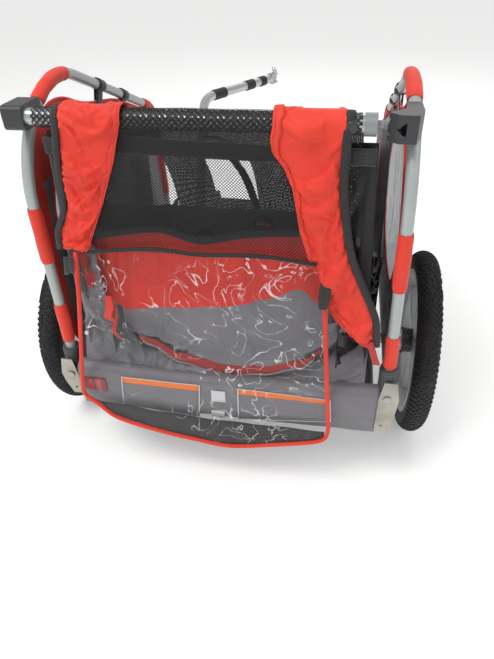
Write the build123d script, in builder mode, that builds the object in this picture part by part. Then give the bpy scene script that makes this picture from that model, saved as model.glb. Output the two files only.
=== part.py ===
from build123d import *
import os
from math import cos, hypot, radians, sin, sqrt

# A two-seat child bicycle trailer in its hitched attitude, in millimetres.
# +Y is forward, +Z up, +X the trailer's right, and the ground is z = 0.

# driving dimensions
wheel_diameter = 400
tyre_width = 47
wheel_plane_x = 389
axle_ahead = 248  # axle ahead of the rear legs
axle_radius = 6
tube_radius = 12.7
tube_wall = 1.6
loop_radius = 9.5  # the side frames are bent from a thinner tube
rear_line_y = -831.16  # where the rear legs stand
base_half_width = 285
base_length = 692
base_tube_z = 190
tub_bottom_z = 166
tub_top_z = 205
rear_panel_top_z = 254
frame_half_width = 313
frame_lean = radians(2.4)  # the side frames lean in at the top
hinge_heights = {"left": 225, "right": 257}
leg_staggers = {"left": 10, "right": -10}  # the rear legs pass each other as they fold
rear_foot_ahead = 20
front_foot_ahead = 725
leg_lean = -0.0595  # how far the rear leg runs back for each unit of height
top_bend_radius = 160
front_bend_radius = 90
top_run_ahead, top_run_z, top_run_fall = 216, 750, 0.38
front_bend_ahead = 640
crossbar_ahead = 12
crossbar_z = 731
crossbar_pin_x = 258
crossbar_left_x = -286
pad_radius = 14.5
tow_pivot = (-270, 792, 180)  # x, ahead of the rear legs, z
tow_flats = 30  # the arm's octagon across its flats
tow_elbow = (-313, 1255, 466)
tow_tip = (-119, 1580, 466)
pin_gap = 0.05  # radial running gap of every pin and shaft

axle_z = wheel_diameter / 2
axle_y = rear_line_y + axle_ahead
base_rear_y = rear_line_y + 14
base_front_y = base_rear_y + base_length
crossbar_y = rear_line_y + crossbar_ahead
sides = {"left": -1, "right": 1}

os.makedirs("parts", exist_ok=True)


def save(piece, label):
    piece.part.label = label
    export_step(piece.part, f"parts/{label}.step")


# base tubes

for side_name, side in sides.items():
    rail_start = (side * base_half_width, base_rear_y + tube_radius, base_tube_z)
    with BuildPart() as side_rail:
        with BuildSketch(Plane(origin=rail_start, z_dir=(0, 1, 0))):
            Circle(tube_radius)
            Circle(tube_radius - tube_wall, mode=Mode.SUBTRACT)
        extrude(amount=base_length - 2 * tube_radius)
    save(side_rail, f"side_rail_{side_name}")

cross_half_length = base_half_width + tube_radius
for cross_name, cross_y in {"rear": base_rear_y, "front": base_front_y}.items():
    with BuildPart() as cross_tube:
        with BuildSketch(Plane(origin=(-cross_half_length, cross_y, base_tube_z), z_dir=(1, 0, 0))):
            Circle(tube_radius)
            Circle(tube_radius - tube_wall, mode=Mode.SUBTRACT)
        extrude(amount=2 * cross_half_length)
    save(cross_tube, f"{cross_name}_cross_tube")

# floor tub: a shallow tray inside the rails, and the tall fabric panel behind it

soft_gap = 0.4
tub_half_width = base_half_width - tube_radius - soft_gap
tub_length = base_length - 2 * (tube_radius + soft_gap)
tub_middle_y = base_rear_y + base_length / 2
tub_wall = 4
with BuildPart() as floor_tub:
    with BuildSketch(Plane.XY.offset(tub_bottom_z)):
        with Locations((0, tub_middle_y)):
            RectangleRounded(2 * tub_half_width, tub_length, 14)
    extrude(amount=tub_top_z - tub_bottom_z)
    with BuildSketch(Plane.XY.offset(tub_bottom_z + tub_wall)):
        with Locations((0, tub_middle_y)):
            RectangleRounded(2 * (tub_half_width - tub_wall), tub_length - 2 * tub_wall, 10)
    extrude(amount=tub_top_z - tub_bottom_z, mode=Mode.SUBTRACT)
save(floor_tub, "floor_tub")

panel_thickness = 4
panel_back_y = rear_line_y - 12
with BuildPart() as rear_panel:
    with BuildSketch(Plane.XZ.offset(-(panel_back_y + panel_thickness))):
        with Locations((0, (tub_bottom_z + rear_panel_top_z) / 2)):
            RectangleRounded(2 * base_half_width, rear_panel_top_z - tub_bottom_z, 6)
    extrude(amount=panel_thickness)
save(rear_panel, "rear_panel")

reflector_centre = (-254, 222)
with BuildPart() as rear_reflector:
    with BuildSketch(Plane.XZ.offset(-panel_back_y)):
        with Locations(reflector_centre):
            RectangleRounded(46, 30, 3)
    extrude(amount=4)
    fillet(rear_reflector.faces().sort_by(Axis.Y)[0].edges(), 1.2)
save(rear_reflector, "rear_reflector")

# wheels: sections are drawn with x out from the axle line and y towards the outboard side

tyre_radius = tyre_width / 2
tyre_ring = wheel_diameter / 2 - tyre_radius
tyre_wall = 4
bead_radius, bead_half_width = 154, 16
flange_radius = 160
hub_radius, hub_half_length = 24, 31
bearing_radius, bearing_width = 14, 8
spoke_count = 6
button_radius = 3.5

for side_name, side in sides.items():
    wheel_centre = (side * wheel_plane_x, axle_y, axle_z)
    section = Plane(origin=wheel_centre, x_dir=(0, 0, 1), z_dir=(0, side, 0))
    wheel_face = Plane(origin=wheel_centre, x_dir=(0, 0, 1), z_dir=(side, 0, 0))
    wheel_line = Axis(wheel_centre, (1, 0, 0))

    with BuildPart() as tyre:
        with BuildSketch(section):
            with Locations((tyre_ring, 0)):
                Circle(tyre_radius)
            with BuildLine():
                Polyline(
                    (bead_radius, -bead_half_width), (tyre_ring, -tyre_radius),
                    (tyre_ring, tyre_radius), (bead_radius, bead_half_width), close=True,
                )
            make_face()
            with Locations((tyre_ring, 0)):
                Circle(tyre_radius - tyre_wall, mode=Mode.SUBTRACT)
            with BuildLine():
                Polyline(
                    (bead_radius - 5, tyre_wall - bead_half_width), (tyre_ring, tyre_wall - tyre_radius),
                    (tyre_ring, tyre_radius - tyre_wall), (bead_radius - 5, bead_half_width - tyre_wall),
                    close=True,
                )
            make_face(mode=Mode.SUBTRACT)
        revolve(axis=wheel_line)
    save(tyre, f"tyre_{side_name}")

    with BuildPart() as inner_tube:
        with BuildSketch(section):
            with Locations((tyre_ring, 0)):
                Circle(tyre_radius - tyre_wall - 1)
                Circle(tyre_radius - tyre_wall - 2.5, mode=Mode.SUBTRACT)
        revolve(axis=wheel_line)
    save(inner_tube, f"inner_tube_{side_name}")

    with BuildPart() as wheel_rim:
        with BuildSketch(section):
            with BuildLine():
                Polyline(
                    (136, -9), (148, -20.5), (flange_radius, -20.5), (flange_radius, -18.3),
                    (bead_radius, -18.3), (bead_radius, 18.3), (flange_radius, 18.3),
                    (flange_radius, 20.5), (148, 20.5), (136, 9), close=True,
                )
            make_face()
            with Locations(((hub_radius + bearing_radius) / 2, 0)):
                Rectangle(hub_radius - bearing_radius, 2 * hub_half_length)
        revolve(axis=wheel_line)
        with BuildSketch(wheel_face):
            with PolarLocations(79, spoke_count):
                Polygon((-58, -15), (59, -10), (59, 10), (-58, 15))
            with PolarLocations(84, spoke_count):
                SlotOverall(64, 9, mode=Mode.SUBTRACT)
        extrude(amount=8, both=True)
        with BuildSketch(wheel_face):
            Circle(bearing_radius)
        extrude(amount=hub_half_length, both=True, mode=Mode.SUBTRACT)
    save(wheel_rim, f"wheel_rim_{side_name}")

    with BuildPart() as hub_bearings:
        with BuildSketch(section):
            for bearing_side in (-1, 1):
                middle = bearing_side * (hub_half_length - bearing_width / 2)
                bore = axle_radius + pin_gap
                with Locations(((bearing_radius + bore) / 2, middle)):
                    Rectangle(bearing_radius - bore, bearing_width)
        revolve(axis=wheel_line)
    save(hub_bearings, f"hub_bearings_{side_name}")

    with BuildPart() as axle:
        with BuildSketch(section):
            with BuildLine():
                Polyline(
                    (0, -90), (5, -90), (axle_radius, -88), (axle_radius, -39), (9, -39), (9, -33),
                    (axle_radius, -33), (axle_radius, 33), (10, 33), (10, 38), (button_radius + pin_gap, 38),
                    (button_radius + pin_gap, 12), (0, 12), close=True,
                )
            make_face()
        revolve(axis=wheel_line)
    save(axle, f"axle_{side_name}")

    with BuildPart() as axle_button:
        with BuildSketch(section):
            with BuildLine():
                Polyline((0, 17), (button_radius, 17), (button_radius, 41), (2.5, 42), (0, 42), close=True)
            make_face()
        revolve(axis=wheel_line)
    save(axle_button, f"axle_button_{side_name}")

    # plate welded to the rail, with the boss that the axle plugs into
    plate_x = side * (base_half_width + tube_radius + 0.2)
    with BuildPart() as axle_bracket:
        with BuildSketch(Plane(origin=(plate_x, axle_y, axle_z), x_dir=(0, side, 0), z_dir=(side, 0, 0))):
            with BuildLine():
                Polyline((-40, -24), (40, -24), (26, 26), (-26, 26), close=True)
            make_face()
            fillet(vertices(), 6)
        extrude(amount=5)
        with BuildSketch(Plane(origin=(plate_x, axle_y, axle_z), z_dir=(side, 0, 0))):
            Circle(12)
        extrude(amount=38)
        with BuildSketch(Plane(origin=(plate_x, axle_y, axle_z), z_dir=(side, 0, 0))):
            Circle(axle_radius + 0.02)
        extrude(amount=38, mode=Mode.SUBTRACT)
    save(axle_bracket, f"axle_bracket_{side_name}")

# side frames: each is one bent tube in a plane that leans in about its hinge line

sleeve_thickness = 1.3
socket_radius = 16.2
socket_length = 58
lug_radius = 14
lug_half_length = 20
hinge_pin_radius = 4
hinge_pin_half_length = 28
cheek_gap = 22  # from the middle of a bracket to the inner face of its cheek
cheek_thickness = 3
cheek_rises = {"rear": 38, "front": 11}  # how far the cheeks stand above the hinge line
tube_start = 12  # the tube stops this far up from the hinge line, inside its socket
panel_inset = 14.4
panel_start = 62  # the side panel starts this far above the hinge line


def frame_plane(side, hinge_z):
    """The plane a side frame is drawn in, x forward and y up the frame."""
    origin = (side * frame_half_width, rear_line_y, hinge_z)
    return Plane(origin=origin, x_dir=(0, 1, 0), z_dir=(cos(frame_lean), 0, side * sin(frame_lean)))


def frame_corners(hinge_z, stagger):
    """The frame's four corners, bends not yet rounded, from rear foot to front foot."""
    rear_foot = rear_foot_ahead + stagger
    rise = top_run_z - hinge_z + top_run_fall * (top_run_ahead - rear_foot)
    top_height = rise / (cos(frame_lean) + top_run_fall * leg_lean)
    front_height = (top_run_z - hinge_z - top_run_fall * (front_bend_ahead - top_run_ahead)) / cos(frame_lean)
    return [
        Vector(rear_foot, 0),
        Vector(rear_foot + leg_lean * top_height, top_height),
        Vector(front_bend_ahead, front_height),
        Vector(front_foot_ahead, 0),
    ]


def frame_route(corners):
    """The frame tube's centre line, from inside one socket to inside the other."""
    first = corners[0] + (corners[1] - corners[0]).normalized() * tube_start
    last = corners[3] + (corners[2] - corners[3]).normalized() * tube_start
    points = [(point.X, point.Y) for point in (first, corners[1], corners[2], last)]
    return FilletPolyline(*points, radius=(top_bend_radius, front_bend_radius))


def ring_across(route, outer, inner):
    """A ring standing across the start of a route, ready to sweep along it."""
    with BuildSketch(Plane(origin=route @ 0, z_dir=route % 0)) as ring:
        Circle(outer)
        Circle(inner, mode=Mode.SUBTRACT)
    return ring.sketch


pin_planes = []
for side_name, side in sides.items():
    hinge_z = hinge_heights[side_name]
    plane = frame_plane(side, hinge_z)
    corners = frame_corners(hinge_z, leg_staggers[side_name])

    with BuildPart() as side_loop:
        with BuildLine(plane) as loop_line:
            frame_route(corners)
        loop_route = loop_line.wires()[0]
        sweep(sections=ring_across(loop_route, loop_radius, loop_radius - tube_wall), path=loop_route)
    save(side_loop, f"side_loop_{side_name}")

    # fabric sleeves, as (which run or bend, from, to), two of them set by height on the rear leg
    loop_edges = loop_route.edges()
    leg_bottom = hinge_z + tube_start
    leg_shares = [(z - leg_bottom) / (590 - leg_bottom) for z in (hinge_z + 64, 387, 482, 585)]
    sleeve_stretches = [
        (0, leg_shares[0], leg_shares[1]), (0, leg_shares[2], leg_shares[3]), (1, 0.56, 0.92),
        (2, 0.937, 0.995), (3, 0.01, 0.99), (4, 0.02, 0.78),
    ]
    with BuildPart() as tube_sleeves:
        for edge_number, start, end in sleeve_stretches:
            stretch = Wire([loop_edges[edge_number].trim(start, end)])
            sweep(sections=ring_across(stretch, loop_radius + sleeve_thickness, loop_radius), path=stretch)
    save(tube_sleeves, f"tube_sleeves_{side_name}")

    with BuildPart() as side_panel:
        with BuildSketch(plane):
            with BuildLine():
                outline = FilletPolyline(*corners, radius=(top_bend_radius, front_bend_radius))
                Line(outline @ 1, outline @ 0)
            make_face()
            offset(amount=-panel_inset)
            with Locations((400, 0)):
                Rectangle(1200, 2 * panel_start, mode=Mode.SUBTRACT)
            with Locations((24, crossbar_z - hinge_z)):
                Rectangle(88, 62, mode=Mode.SUBTRACT)
        extrude(amount=1, both=True)
    save(side_panel, f"side_panel_{side_name}")

    for end_name, foot, toward in (("rear", 0, 1), ("front", 3, 2)):
        foot_point = plane.from_local_coords(corners[foot])
        leg = (plane.from_local_coords(corners[toward]) - foot_point).normalized()
        leg_plane = Plane(origin=foot_point, z_dir=leg)
        pin_plane = Plane(origin=foot_point - Vector(0, hinge_pin_half_length, 0), z_dir=(0, 1, 0))

        with BuildPart() as socket:
            with BuildSketch(leg_plane):
                Circle(socket_radius)
            extrude(amount=socket_length)
            for rib in range(5):
                with BuildSketch(leg_plane.offset(20 + 7.5 * rib)):
                    Circle(socket_radius + 1)
                extrude(amount=3.5)
            with BuildSketch(pin_plane.offset(hinge_pin_half_length - lug_half_length)):
                Circle(lug_radius)
            extrude(amount=2 * lug_half_length)
            with BuildSketch(Plane(origin=foot_point, z_dir=(0, 0, -1))):
                Rectangle(2 * socket_radius + 4, 2 * socket_radius + 4)
            extrude(amount=6, mode=Mode.SUBTRACT)
            with BuildSketch(pin_plane.offset(hinge_pin_half_length - lug_half_length)):
                Circle(lug_radius)
            extrude(amount=2 * lug_half_length)
            with BuildSketch(leg_plane.offset(tube_start)):
                Circle(loop_radius)
            extrude(amount=socket_length, mode=Mode.SUBTRACT)
            with BuildSketch(pin_plane):
                Circle(hinge_pin_radius + pin_gap)
            extrude(amount=2 * hinge_pin_half_length, mode=Mode.SUBTRACT)
        save(socket, f"{end_name}_socket_{side_name}")

        pin_planes.append(pin_plane)

        # two sheet cheeks joined by a web against the rail
        rail_face = base_half_width + tube_radius + 0.2
        web_top = hinge_z - socket_radius - 4
        cheek_top = hinge_z + cheek_rises[end_name]
        foot_y = foot_point.Y
        with BuildPart() as hinge_bracket:
            for cheek_side in (-1, 1):
                cheek_y = foot_y + cheek_side * (cheek_gap + cheek_thickness / 2)
                with BuildSketch(Plane(origin=(0, cheek_y, 0), x_dir=(side, 0, 0), z_dir=(0, -side, 0))):
                    with BuildLine():
                        Polyline(
                            (rail_face, 174), (318, 174), (330, 205), (334, hinge_z), (327, cheek_top),
                            (304, cheek_top), (rail_face, hinge_z - 2), close=True,
                        )
                    make_face()
                    with Locations((frame_half_width, hinge_z)):
                        Circle(hinge_pin_radius + 0.02, mode=Mode.SUBTRACT)
                    with Locations((309, 190)):
                        Circle(2.6, mode=Mode.SUBTRACT)
                extrude(amount=cheek_thickness / 2, both=True)
            with BuildSketch(Plane(origin=(side * rail_face, foot_y, 0), x_dir=(0, side, 0), z_dir=(side, 0, 0))):
                with Locations((0, (174 + web_top) / 2)):
                    Rectangle(2 * cheek_gap + 1, web_top - 174)
            extrude(amount=3)
        save(hinge_bracket, f"{end_name}_hinge_bracket_{side_name}")

with BuildPart() as hinge_pins:
    for pin_plane in pin_planes:
        with BuildSketch(pin_plane):
            Circle(hinge_pin_radius)
        extrude(amount=2 * hinge_pin_half_length)
        for head_start in (0, 2 * hinge_pin_half_length - 2.8):
            with BuildSketch(pin_plane.offset(head_start)):
                Circle(hinge_pin_radius + 3)
            extrude(amount=2.8)
save(hinge_pins, "hinge_pins")

# crossbar: swings on a slanted pin in the right frame's block, so it lifts up and folds forward

pin_point = Vector(crossbar_pin_x, crossbar_y, crossbar_z)
swing_plane = Plane(origin=pin_point, x_dir=(1, 1, 0), z_dir=(-1, 1, 0))
bar_plane = Plane(origin=(0, crossbar_y, crossbar_z), x_dir=(0, 1, 0), z_dir=(1, 0, 0))
knob_x = 207
knob_face = Plane(origin=(knob_x, crossbar_y, crossbar_z), x_dir=(1, 0, 0), z_dir=(0, -1, 0))
knob_stem_radius = 3
knob_radius = 9
collar_start, collar_end = 224, 241
pad_ends = (-257, 221)
swing_pin_radius = 4
swing_jaw = 4.6  # the block's boss stands this far from the middle of the crossbar's eye

with BuildPart() as crossbar_tube:
    with BuildSketch(bar_plane.offset(crossbar_left_x)):
        Circle(tube_radius)
        Circle(tube_radius - tube_wall, mode=Mode.SUBTRACT)
    extrude(amount=collar_end - 5 - crossbar_left_x)
    with BuildSketch(knob_face):
        Circle(knob_stem_radius + pin_gap)
    extrude(amount=20, mode=Mode.SUBTRACT)
save(crossbar_tube, "crossbar_tube")

with BuildPart() as crossbar_pad:
    with BuildSketch(bar_plane.offset(pad_ends[0])):
        Circle(pad_radius)
        Circle(tube_radius, mode=Mode.SUBTRACT)
    extrude(amount=pad_ends[1] - pad_ends[0])
    with BuildSketch(knob_face):
        Circle(knob_radius + 1)
    extrude(amount=20, mode=Mode.SUBTRACT)
save(crossbar_pad, "crossbar_pad")

with BuildPart() as crossbar_tongue:
    with BuildSketch(bar_plane.offset(collar_start)):
        Circle(15.5)
    extrude(amount=collar_end - collar_start)
    with BuildSketch(bar_plane.offset(collar_start)):
        Circle(tube_radius)
    extrude(amount=collar_end - 5 - collar_start, mode=Mode.SUBTRACT)
    with BuildSketch(bar_plane.offset(collar_end - 1)):
        Circle(6)
    extrude(amount=crossbar_pin_x - collar_end - 3)
    with BuildSketch(swing_plane):
        Circle(10)
    extrude(amount=4, both=True)
    with BuildSketch(swing_plane):
        Circle(swing_pin_radius)
    extrude(amount=-4, mode=Mode.SUBTRACT)
save(crossbar_tongue, "crossbar_tongue")

with BuildPart() as crossbar_pin:
    with BuildSketch(swing_plane.offset(-21)):
        Circle(swing_pin_radius)
    extrude(amount=21)
    with BuildSketch(swing_plane.offset(-23)):
        Circle(swing_pin_radius + 2.5)
    extrude(amount=3)
save(crossbar_pin, "crossbar_pin")

with BuildPart() as crossbar_knob:
    with BuildSketch(knob_face.offset(4)):
        Circle(knob_stem_radius)
    extrude(amount=13)
    with BuildSketch(knob_face.offset(tube_radius + 2.4)):
        Circle(knob_radius)
    extrude(amount=4.5)
    fillet(crossbar_knob.faces().sort_by(Axis.Y)[0].edges(), 3)
save(crossbar_knob, "crossbar_knob")

# the block clamped on the right frame tube, with the boss that carries the slanted pin
right_corners = frame_corners(hinge_heights["right"], leg_staggers["right"])
right_plane = frame_plane(1, hinge_heights["right"])
with BuildPart() as crossbar_block:
    with BuildSketch(Plane.XY.offset(crossbar_z - 18)):
        with BuildLine():
            Polyline(
                (293, rear_line_y - 12), (301, rear_line_y + 14), (301, rear_line_y + 60),
                (281, rear_line_y + 60), (281, rear_line_y + 27), (crossbar_pin_x + 10, rear_line_y + 15.4),
                (crossbar_pin_x - 3.1, rear_line_y + 2.3), (crossbar_pin_x + 7.5, rear_line_y - 8.4),
                (crossbar_pin_x + 12, rear_line_y - 12), close=True,
            )
        make_face()
    extrude(amount=37)
    with BuildSketch(swing_plane.offset(-swing_jaw)):
        Circle(14)
    extrude(amount=-3, mode=Mode.SUBTRACT)
    with BuildSketch(swing_plane.offset(-swing_jaw)):
        Circle(9)
    extrude(amount=-12.4)
    with BuildSketch(swing_plane):
        Circle(swing_pin_radius + pin_gap)
    extrude(amount=-20, mode=Mode.SUBTRACT)
    with BuildSketch(swing_plane.offset(-17)):
        Circle(9)
    extrude(amount=-14, mode=Mode.SUBTRACT)
    with BuildLine(right_plane) as right_line:
        frame_route(right_corners)
    right_route = right_line.wires()[0]
    with BuildSketch(Plane(origin=right_route @ 0, z_dir=right_route % 0)):
        Circle(loop_radius)
    sweep(path=right_route, mode=Mode.SUBTRACT)
save(crossbar_block, "crossbar_block")

# the crossbar's left end rests against the back of the left frame's bend
left_corners = frame_corners(hinge_heights["left"], leg_staggers["left"])
left_plane = frame_plane(-1, hinge_heights["left"])
with BuildLine(left_plane):
    left_bend = frame_route(left_corners).edges()[1]
bend_centre = left_bend.arc_center
with BuildPart() as crossbar_end_block:
    with BuildSketch(bar_plane.offset(-302)):
        with Locations((15, 0)):
            RectangleRounded(62, 36, 8)
    extrude(amount=32)
    with BuildSketch(bar_plane.offset(crossbar_left_x)):
        Circle(tube_radius)
    extrude(amount=60, mode=Mode.SUBTRACT)
    with BuildSketch(Plane(origin=(-340, bend_centre.Y, bend_centre.Z), z_dir=(1, 0, 0))):
        Circle(top_bend_radius + loop_radius + 0.6)
    extrude(amount=120, mode=Mode.SUBTRACT)
save(crossbar_end_block, "crossbar_end_block")

# seat, pocket and harness straps

seat_half_width = 255
with BuildPart() as seat_sling:
    with BuildSketch(Plane.YZ.offset(-seat_half_width)):
        with BuildLine():
            Polyline(
                (rear_line_y + 112, 560), (rear_line_y + 212, 234), (rear_line_y + 500, 258),
                (rear_line_y + 500, 270), (rear_line_y + 221, 247), (rear_line_y + 124, 560), close=True,
            )
        make_face()
    extrude(amount=2 * seat_half_width)
save(seat_sling, "seat_sling")

with BuildPart() as seat_harness:
    for strap_x in (-180, -75, 75, 180):
        with BuildSketch(Plane.YZ.offset(strap_x - 14)):
            with BuildLine():
                Polyline(
                    (rear_line_y + 126, 556), (rear_line_y + 217, 262), (rear_line_y + 220, 262),
                    (rear_line_y + 129, 556), close=True,
                )
            make_face()
        extrude(amount=28)
save(seat_harness, "seat_harness")

with BuildPart() as storage_pocket:
    with BuildSketch(Plane.XZ.offset(-(rear_line_y + 60))):
        with Locations((-5, 397)):
            RectangleRounded(430, 245, 20)
    extrude(amount=6)
save(storage_pocket, "storage_pocket")

# rear cover: band, mesh screen, clear window and two nylon wings, all behind the crossbar

screen_y = rear_line_y - 8
with BuildPart() as cover_band:
    with BuildSketch(Plane.YZ.offset(-250)):
        with Locations((rear_line_y + 6, 708)):
            RectangleRounded(12, 12, 4)
    extrude(amount=470)
save(cover_band, "cover_band")

with BuildPart() as cover_screen:
    with BuildSketch(Plane.XZ.offset(-(screen_y + 2))):
        with BuildLine():
            Polyline((-225, 714), (190, 714), (186, 521), (-214, 521), close=True)
        make_face()
    extrude(amount=2)
save(cover_screen, "cover_screen")

with BuildPart() as cover_window:
    with BuildSketch(Plane.YZ.offset(-232)):
        with BuildLine():
            Polyline(
                (screen_y, 519), (screen_y - 20, 480), (screen_y - 24, 320), (screen_y - 20, 132),
                (screen_y - 18, 132), (screen_y - 22, 320), (screen_y - 18, 480), (screen_y + 2, 519),
                close=True,
            )
        make_face()
    extrude(amount=440)
save(cover_window, "cover_window")

wing_y = screen_y - 3
wing_outlines = {
    "left": [(-282, 704), (-175, 712), (-190, 560), (-234, 524), (-262, 500), (-276, 560)],
    "right": [(110, 712), (262, 704), (268, 480), (262, 340), (240, 330), (214, 500), (212, 524), (150, 610)],
}
for side_name, outline in wing_outlines.items():
    with BuildPart() as cover_wing:
        with BuildSketch(Plane.XZ.offset(-wing_y)):
            with BuildLine():
                Polyline(*outline, close=True)
            make_face()
        extrude(amount=1.5)
    save(cover_wing, f"cover_wing_{side_name}")

# tow arm

tow_x = tow_pivot[0]
tow_y = rear_line_y + tow_pivot[1]
tow_z = tow_pivot[2]
tow_base = Plane(origin=(tow_x, tow_y, tow_z))
elbow_point = Vector(tow_elbow[0], rear_line_y + tow_elbow[1], tow_elbow[2])
tip_point = Vector(tow_tip[0], rear_line_y + tow_tip[1], tow_tip[2])
tip_heading = (tip_point - elbow_point).normalized()
tip_plane = Plane(origin=tip_point, x_dir=tip_heading, z_dir=(0, 0, 1))
tow_bolt_radius = 5
lug_half_height = 16
tow_eye_radius = 17

with BuildPart() as tow_bracket:
    with BuildSketch(Plane.XY.offset(tow_z - 24)):
        with BuildLine():
            tow_bracket_back = base_front_y + tube_radius + 0.3
            Polyline(
                (tow_x - 20, tow_bracket_back), (tow_x + 20, tow_bracket_back), (tow_x + 20, tow_y),
                (tow_x - 20, tow_y), close=True,
            )
        make_face()
        with Locations((tow_x, tow_y)):
            Circle(20)
    extrude(amount=48)
    with BuildSketch(tow_base.offset(-lug_half_height - 1)):
        with Locations((0, 20)):
            Rectangle(60, 40 + 2 * (tow_eye_radius + 6))
    extrude(amount=2 * lug_half_height + 2, mode=Mode.SUBTRACT)
    with BuildSketch(tow_base.offset(-30)):
        Circle(tow_bolt_radius + 0.02)
    extrude(amount=60, mode=Mode.SUBTRACT)
save(tow_bracket, "tow_bracket")

with BuildPart() as tow_bolt:
    with BuildSketch(tow_base.offset(-30)):
        Circle(9)
    extrude(amount=5.7)
    with BuildSketch(tow_base.offset(-30)):
        Circle(tow_bolt_radius)
    extrude(amount=76)
save(tow_bolt, "tow_bolt")

with BuildPart() as tow_clamp_knob:
    with BuildSketch(tow_base.offset(24.5)):
        Circle(16)
        with PolarLocations(14, 3):
            Circle(7)
    extrude(amount=16)
    with BuildSketch(tow_base.offset(24.5)):
        Circle(tow_bolt_radius + pin_gap)
    extrude(amount=16, mode=Mode.SUBTRACT)
save(tow_clamp_knob, "tow_clamp_knob")

arm_corners = [
    Vector(tow_x, tow_y + tow_eye_radius + 6, tow_z),
    Vector(tow_x, tow_y + 130, tow_z),
    elbow_point,
    tip_point,
]
with BuildLine() as arm_line:
    FilletPolyline(*arm_corners, radius=(70, 90))
arm_route = arm_line.wires()[0]
octagon_radius = tow_flats / 2 / cos(radians(22.5))
bore_radius = (tow_flats / 2 - 2) / cos(radians(22.5))

with BuildPart() as arm_outside:
    with BuildSketch(Plane(origin=arm_route @ 0, z_dir=(0, 1, 0))):
        RegularPolygon(octagon_radius, 8, rotation=22.5)
    sweep(path=arm_route)

with BuildPart() as tow_arm_tube:
    add(arm_outside.part)
    with BuildSketch(Plane(origin=arm_route @ 0, z_dir=(0, 1, 0))):
        RegularPolygon(bore_radius, 8, rotation=22.5)
    sweep(path=arm_route, mode=Mode.SUBTRACT)
save(tow_arm_tube, "tow_arm_tube")

with BuildPart() as tow_eye:
    with BuildSketch(tow_base.offset(-lug_half_height)):
        Circle(tow_eye_radius)
        with Locations((0, tow_eye_radius / 2 + 2)):
            Rectangle(2 * tow_eye_radius, tow_eye_radius + 4)
    extrude(amount=2 * lug_half_height)
    with BuildSketch(Plane(origin=(tow_x, tow_y + 18, tow_z), z_dir=(0, 1, 0))):
        Circle(tow_flats / 2 - 2.2)
    extrude(amount=30)
    with BuildSketch(tow_base.offset(-lug_half_height)):
        Circle(tow_bolt_radius + pin_gap)
    extrude(amount=2 * lug_half_height, mode=Mode.SUBTRACT)
save(tow_eye, "tow_eye")

hitch_pin_ahead = 30
with BuildPart() as tow_fork:
    with BuildSketch(Plane(origin=tip_point - tip_heading * 26, z_dir=tip_heading)):
        Circle(tow_flats / 2 - 2.2)
    extrude(amount=27)
    with BuildSketch(tip_plane.offset(-18)):
        with Locations((19.5, 0)):
            RectangleRounded(38, 27, 4)
    extrude(amount=36)
    with BuildSketch(tip_plane.offset(-12)):
        with Locations((28, 0)):
            Rectangle(32, 40)
    extrude(amount=24, mode=Mode.SUBTRACT)
    with BuildSketch(tip_plane.offset(-30)):
        with Locations((hitch_pin_ahead - 4, 0)):
            Circle(4 + pin_gap)
    extrude(amount=60, mode=Mode.SUBTRACT)
save(tow_fork, "tow_fork")

pivot_point = tip_point + tip_heading * (hitch_pin_ahead - 4)
hitch_plane = Plane(origin=pivot_point)
with BuildPart() as hitch_pin:
    with BuildSketch(hitch_plane.offset(-24)):
        Circle(4)
    extrude(amount=54)
    with Locations(pivot_point + Vector(0, 0, 33)):
        Sphere(8)
    with BuildSketch(hitch_plane.offset(18.4)):
        Circle(7)
    extrude(amount=3)
save(hitch_pin, "hitch_pin")

with BuildPart() as hitch_coupler:
    with BuildSketch(hitch_plane.offset(-11)):
        Circle(10)
        with Locations((0, 22)):
            Rectangle(12, 44)
    extrude(amount=22)
    with BuildSketch(Plane(origin=pivot_point - Vector(2, 0, 0), x_dir=(0, 1, 0), z_dir=(1, 0, 0))):
        with Locations((62, 0)):
            RectangleRounded(60, 36, 14)
    extrude(amount=4)
    with BuildSketch(hitch_plane.offset(-11)):
        Circle(4 + pin_gap)
    extrude(amount=22, mode=Mode.SUBTRACT)
    with BuildSketch(Plane(origin=pivot_point - Vector(2, 0, 0), x_dir=(0, 1, 0), z_dir=(1, 0, 0))):
        with Locations((74, 0)):
            Circle(5.1)
    extrude(amount=4, mode=Mode.SUBTRACT)
save(hitch_coupler, "hitch_coupler")

with BuildPart() as tow_arm_wraps:
    for wrap_start, wrap_length in ((-330, 60), (-150, 44), (-66, 30)):
        with BuildSketch(Plane(origin=tip_point + tip_heading * wrap_start, z_dir=tip_heading)):
            Circle(octagon_radius + 2)
        extrude(amount=wrap_length)
    add(arm_outside.part, mode=Mode.SUBTRACT)
save(tow_arm_wraps, "tow_arm_wraps")
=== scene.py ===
import math

import bmesh
import bpy
from mathutils import Matrix, Vector, noise


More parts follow.
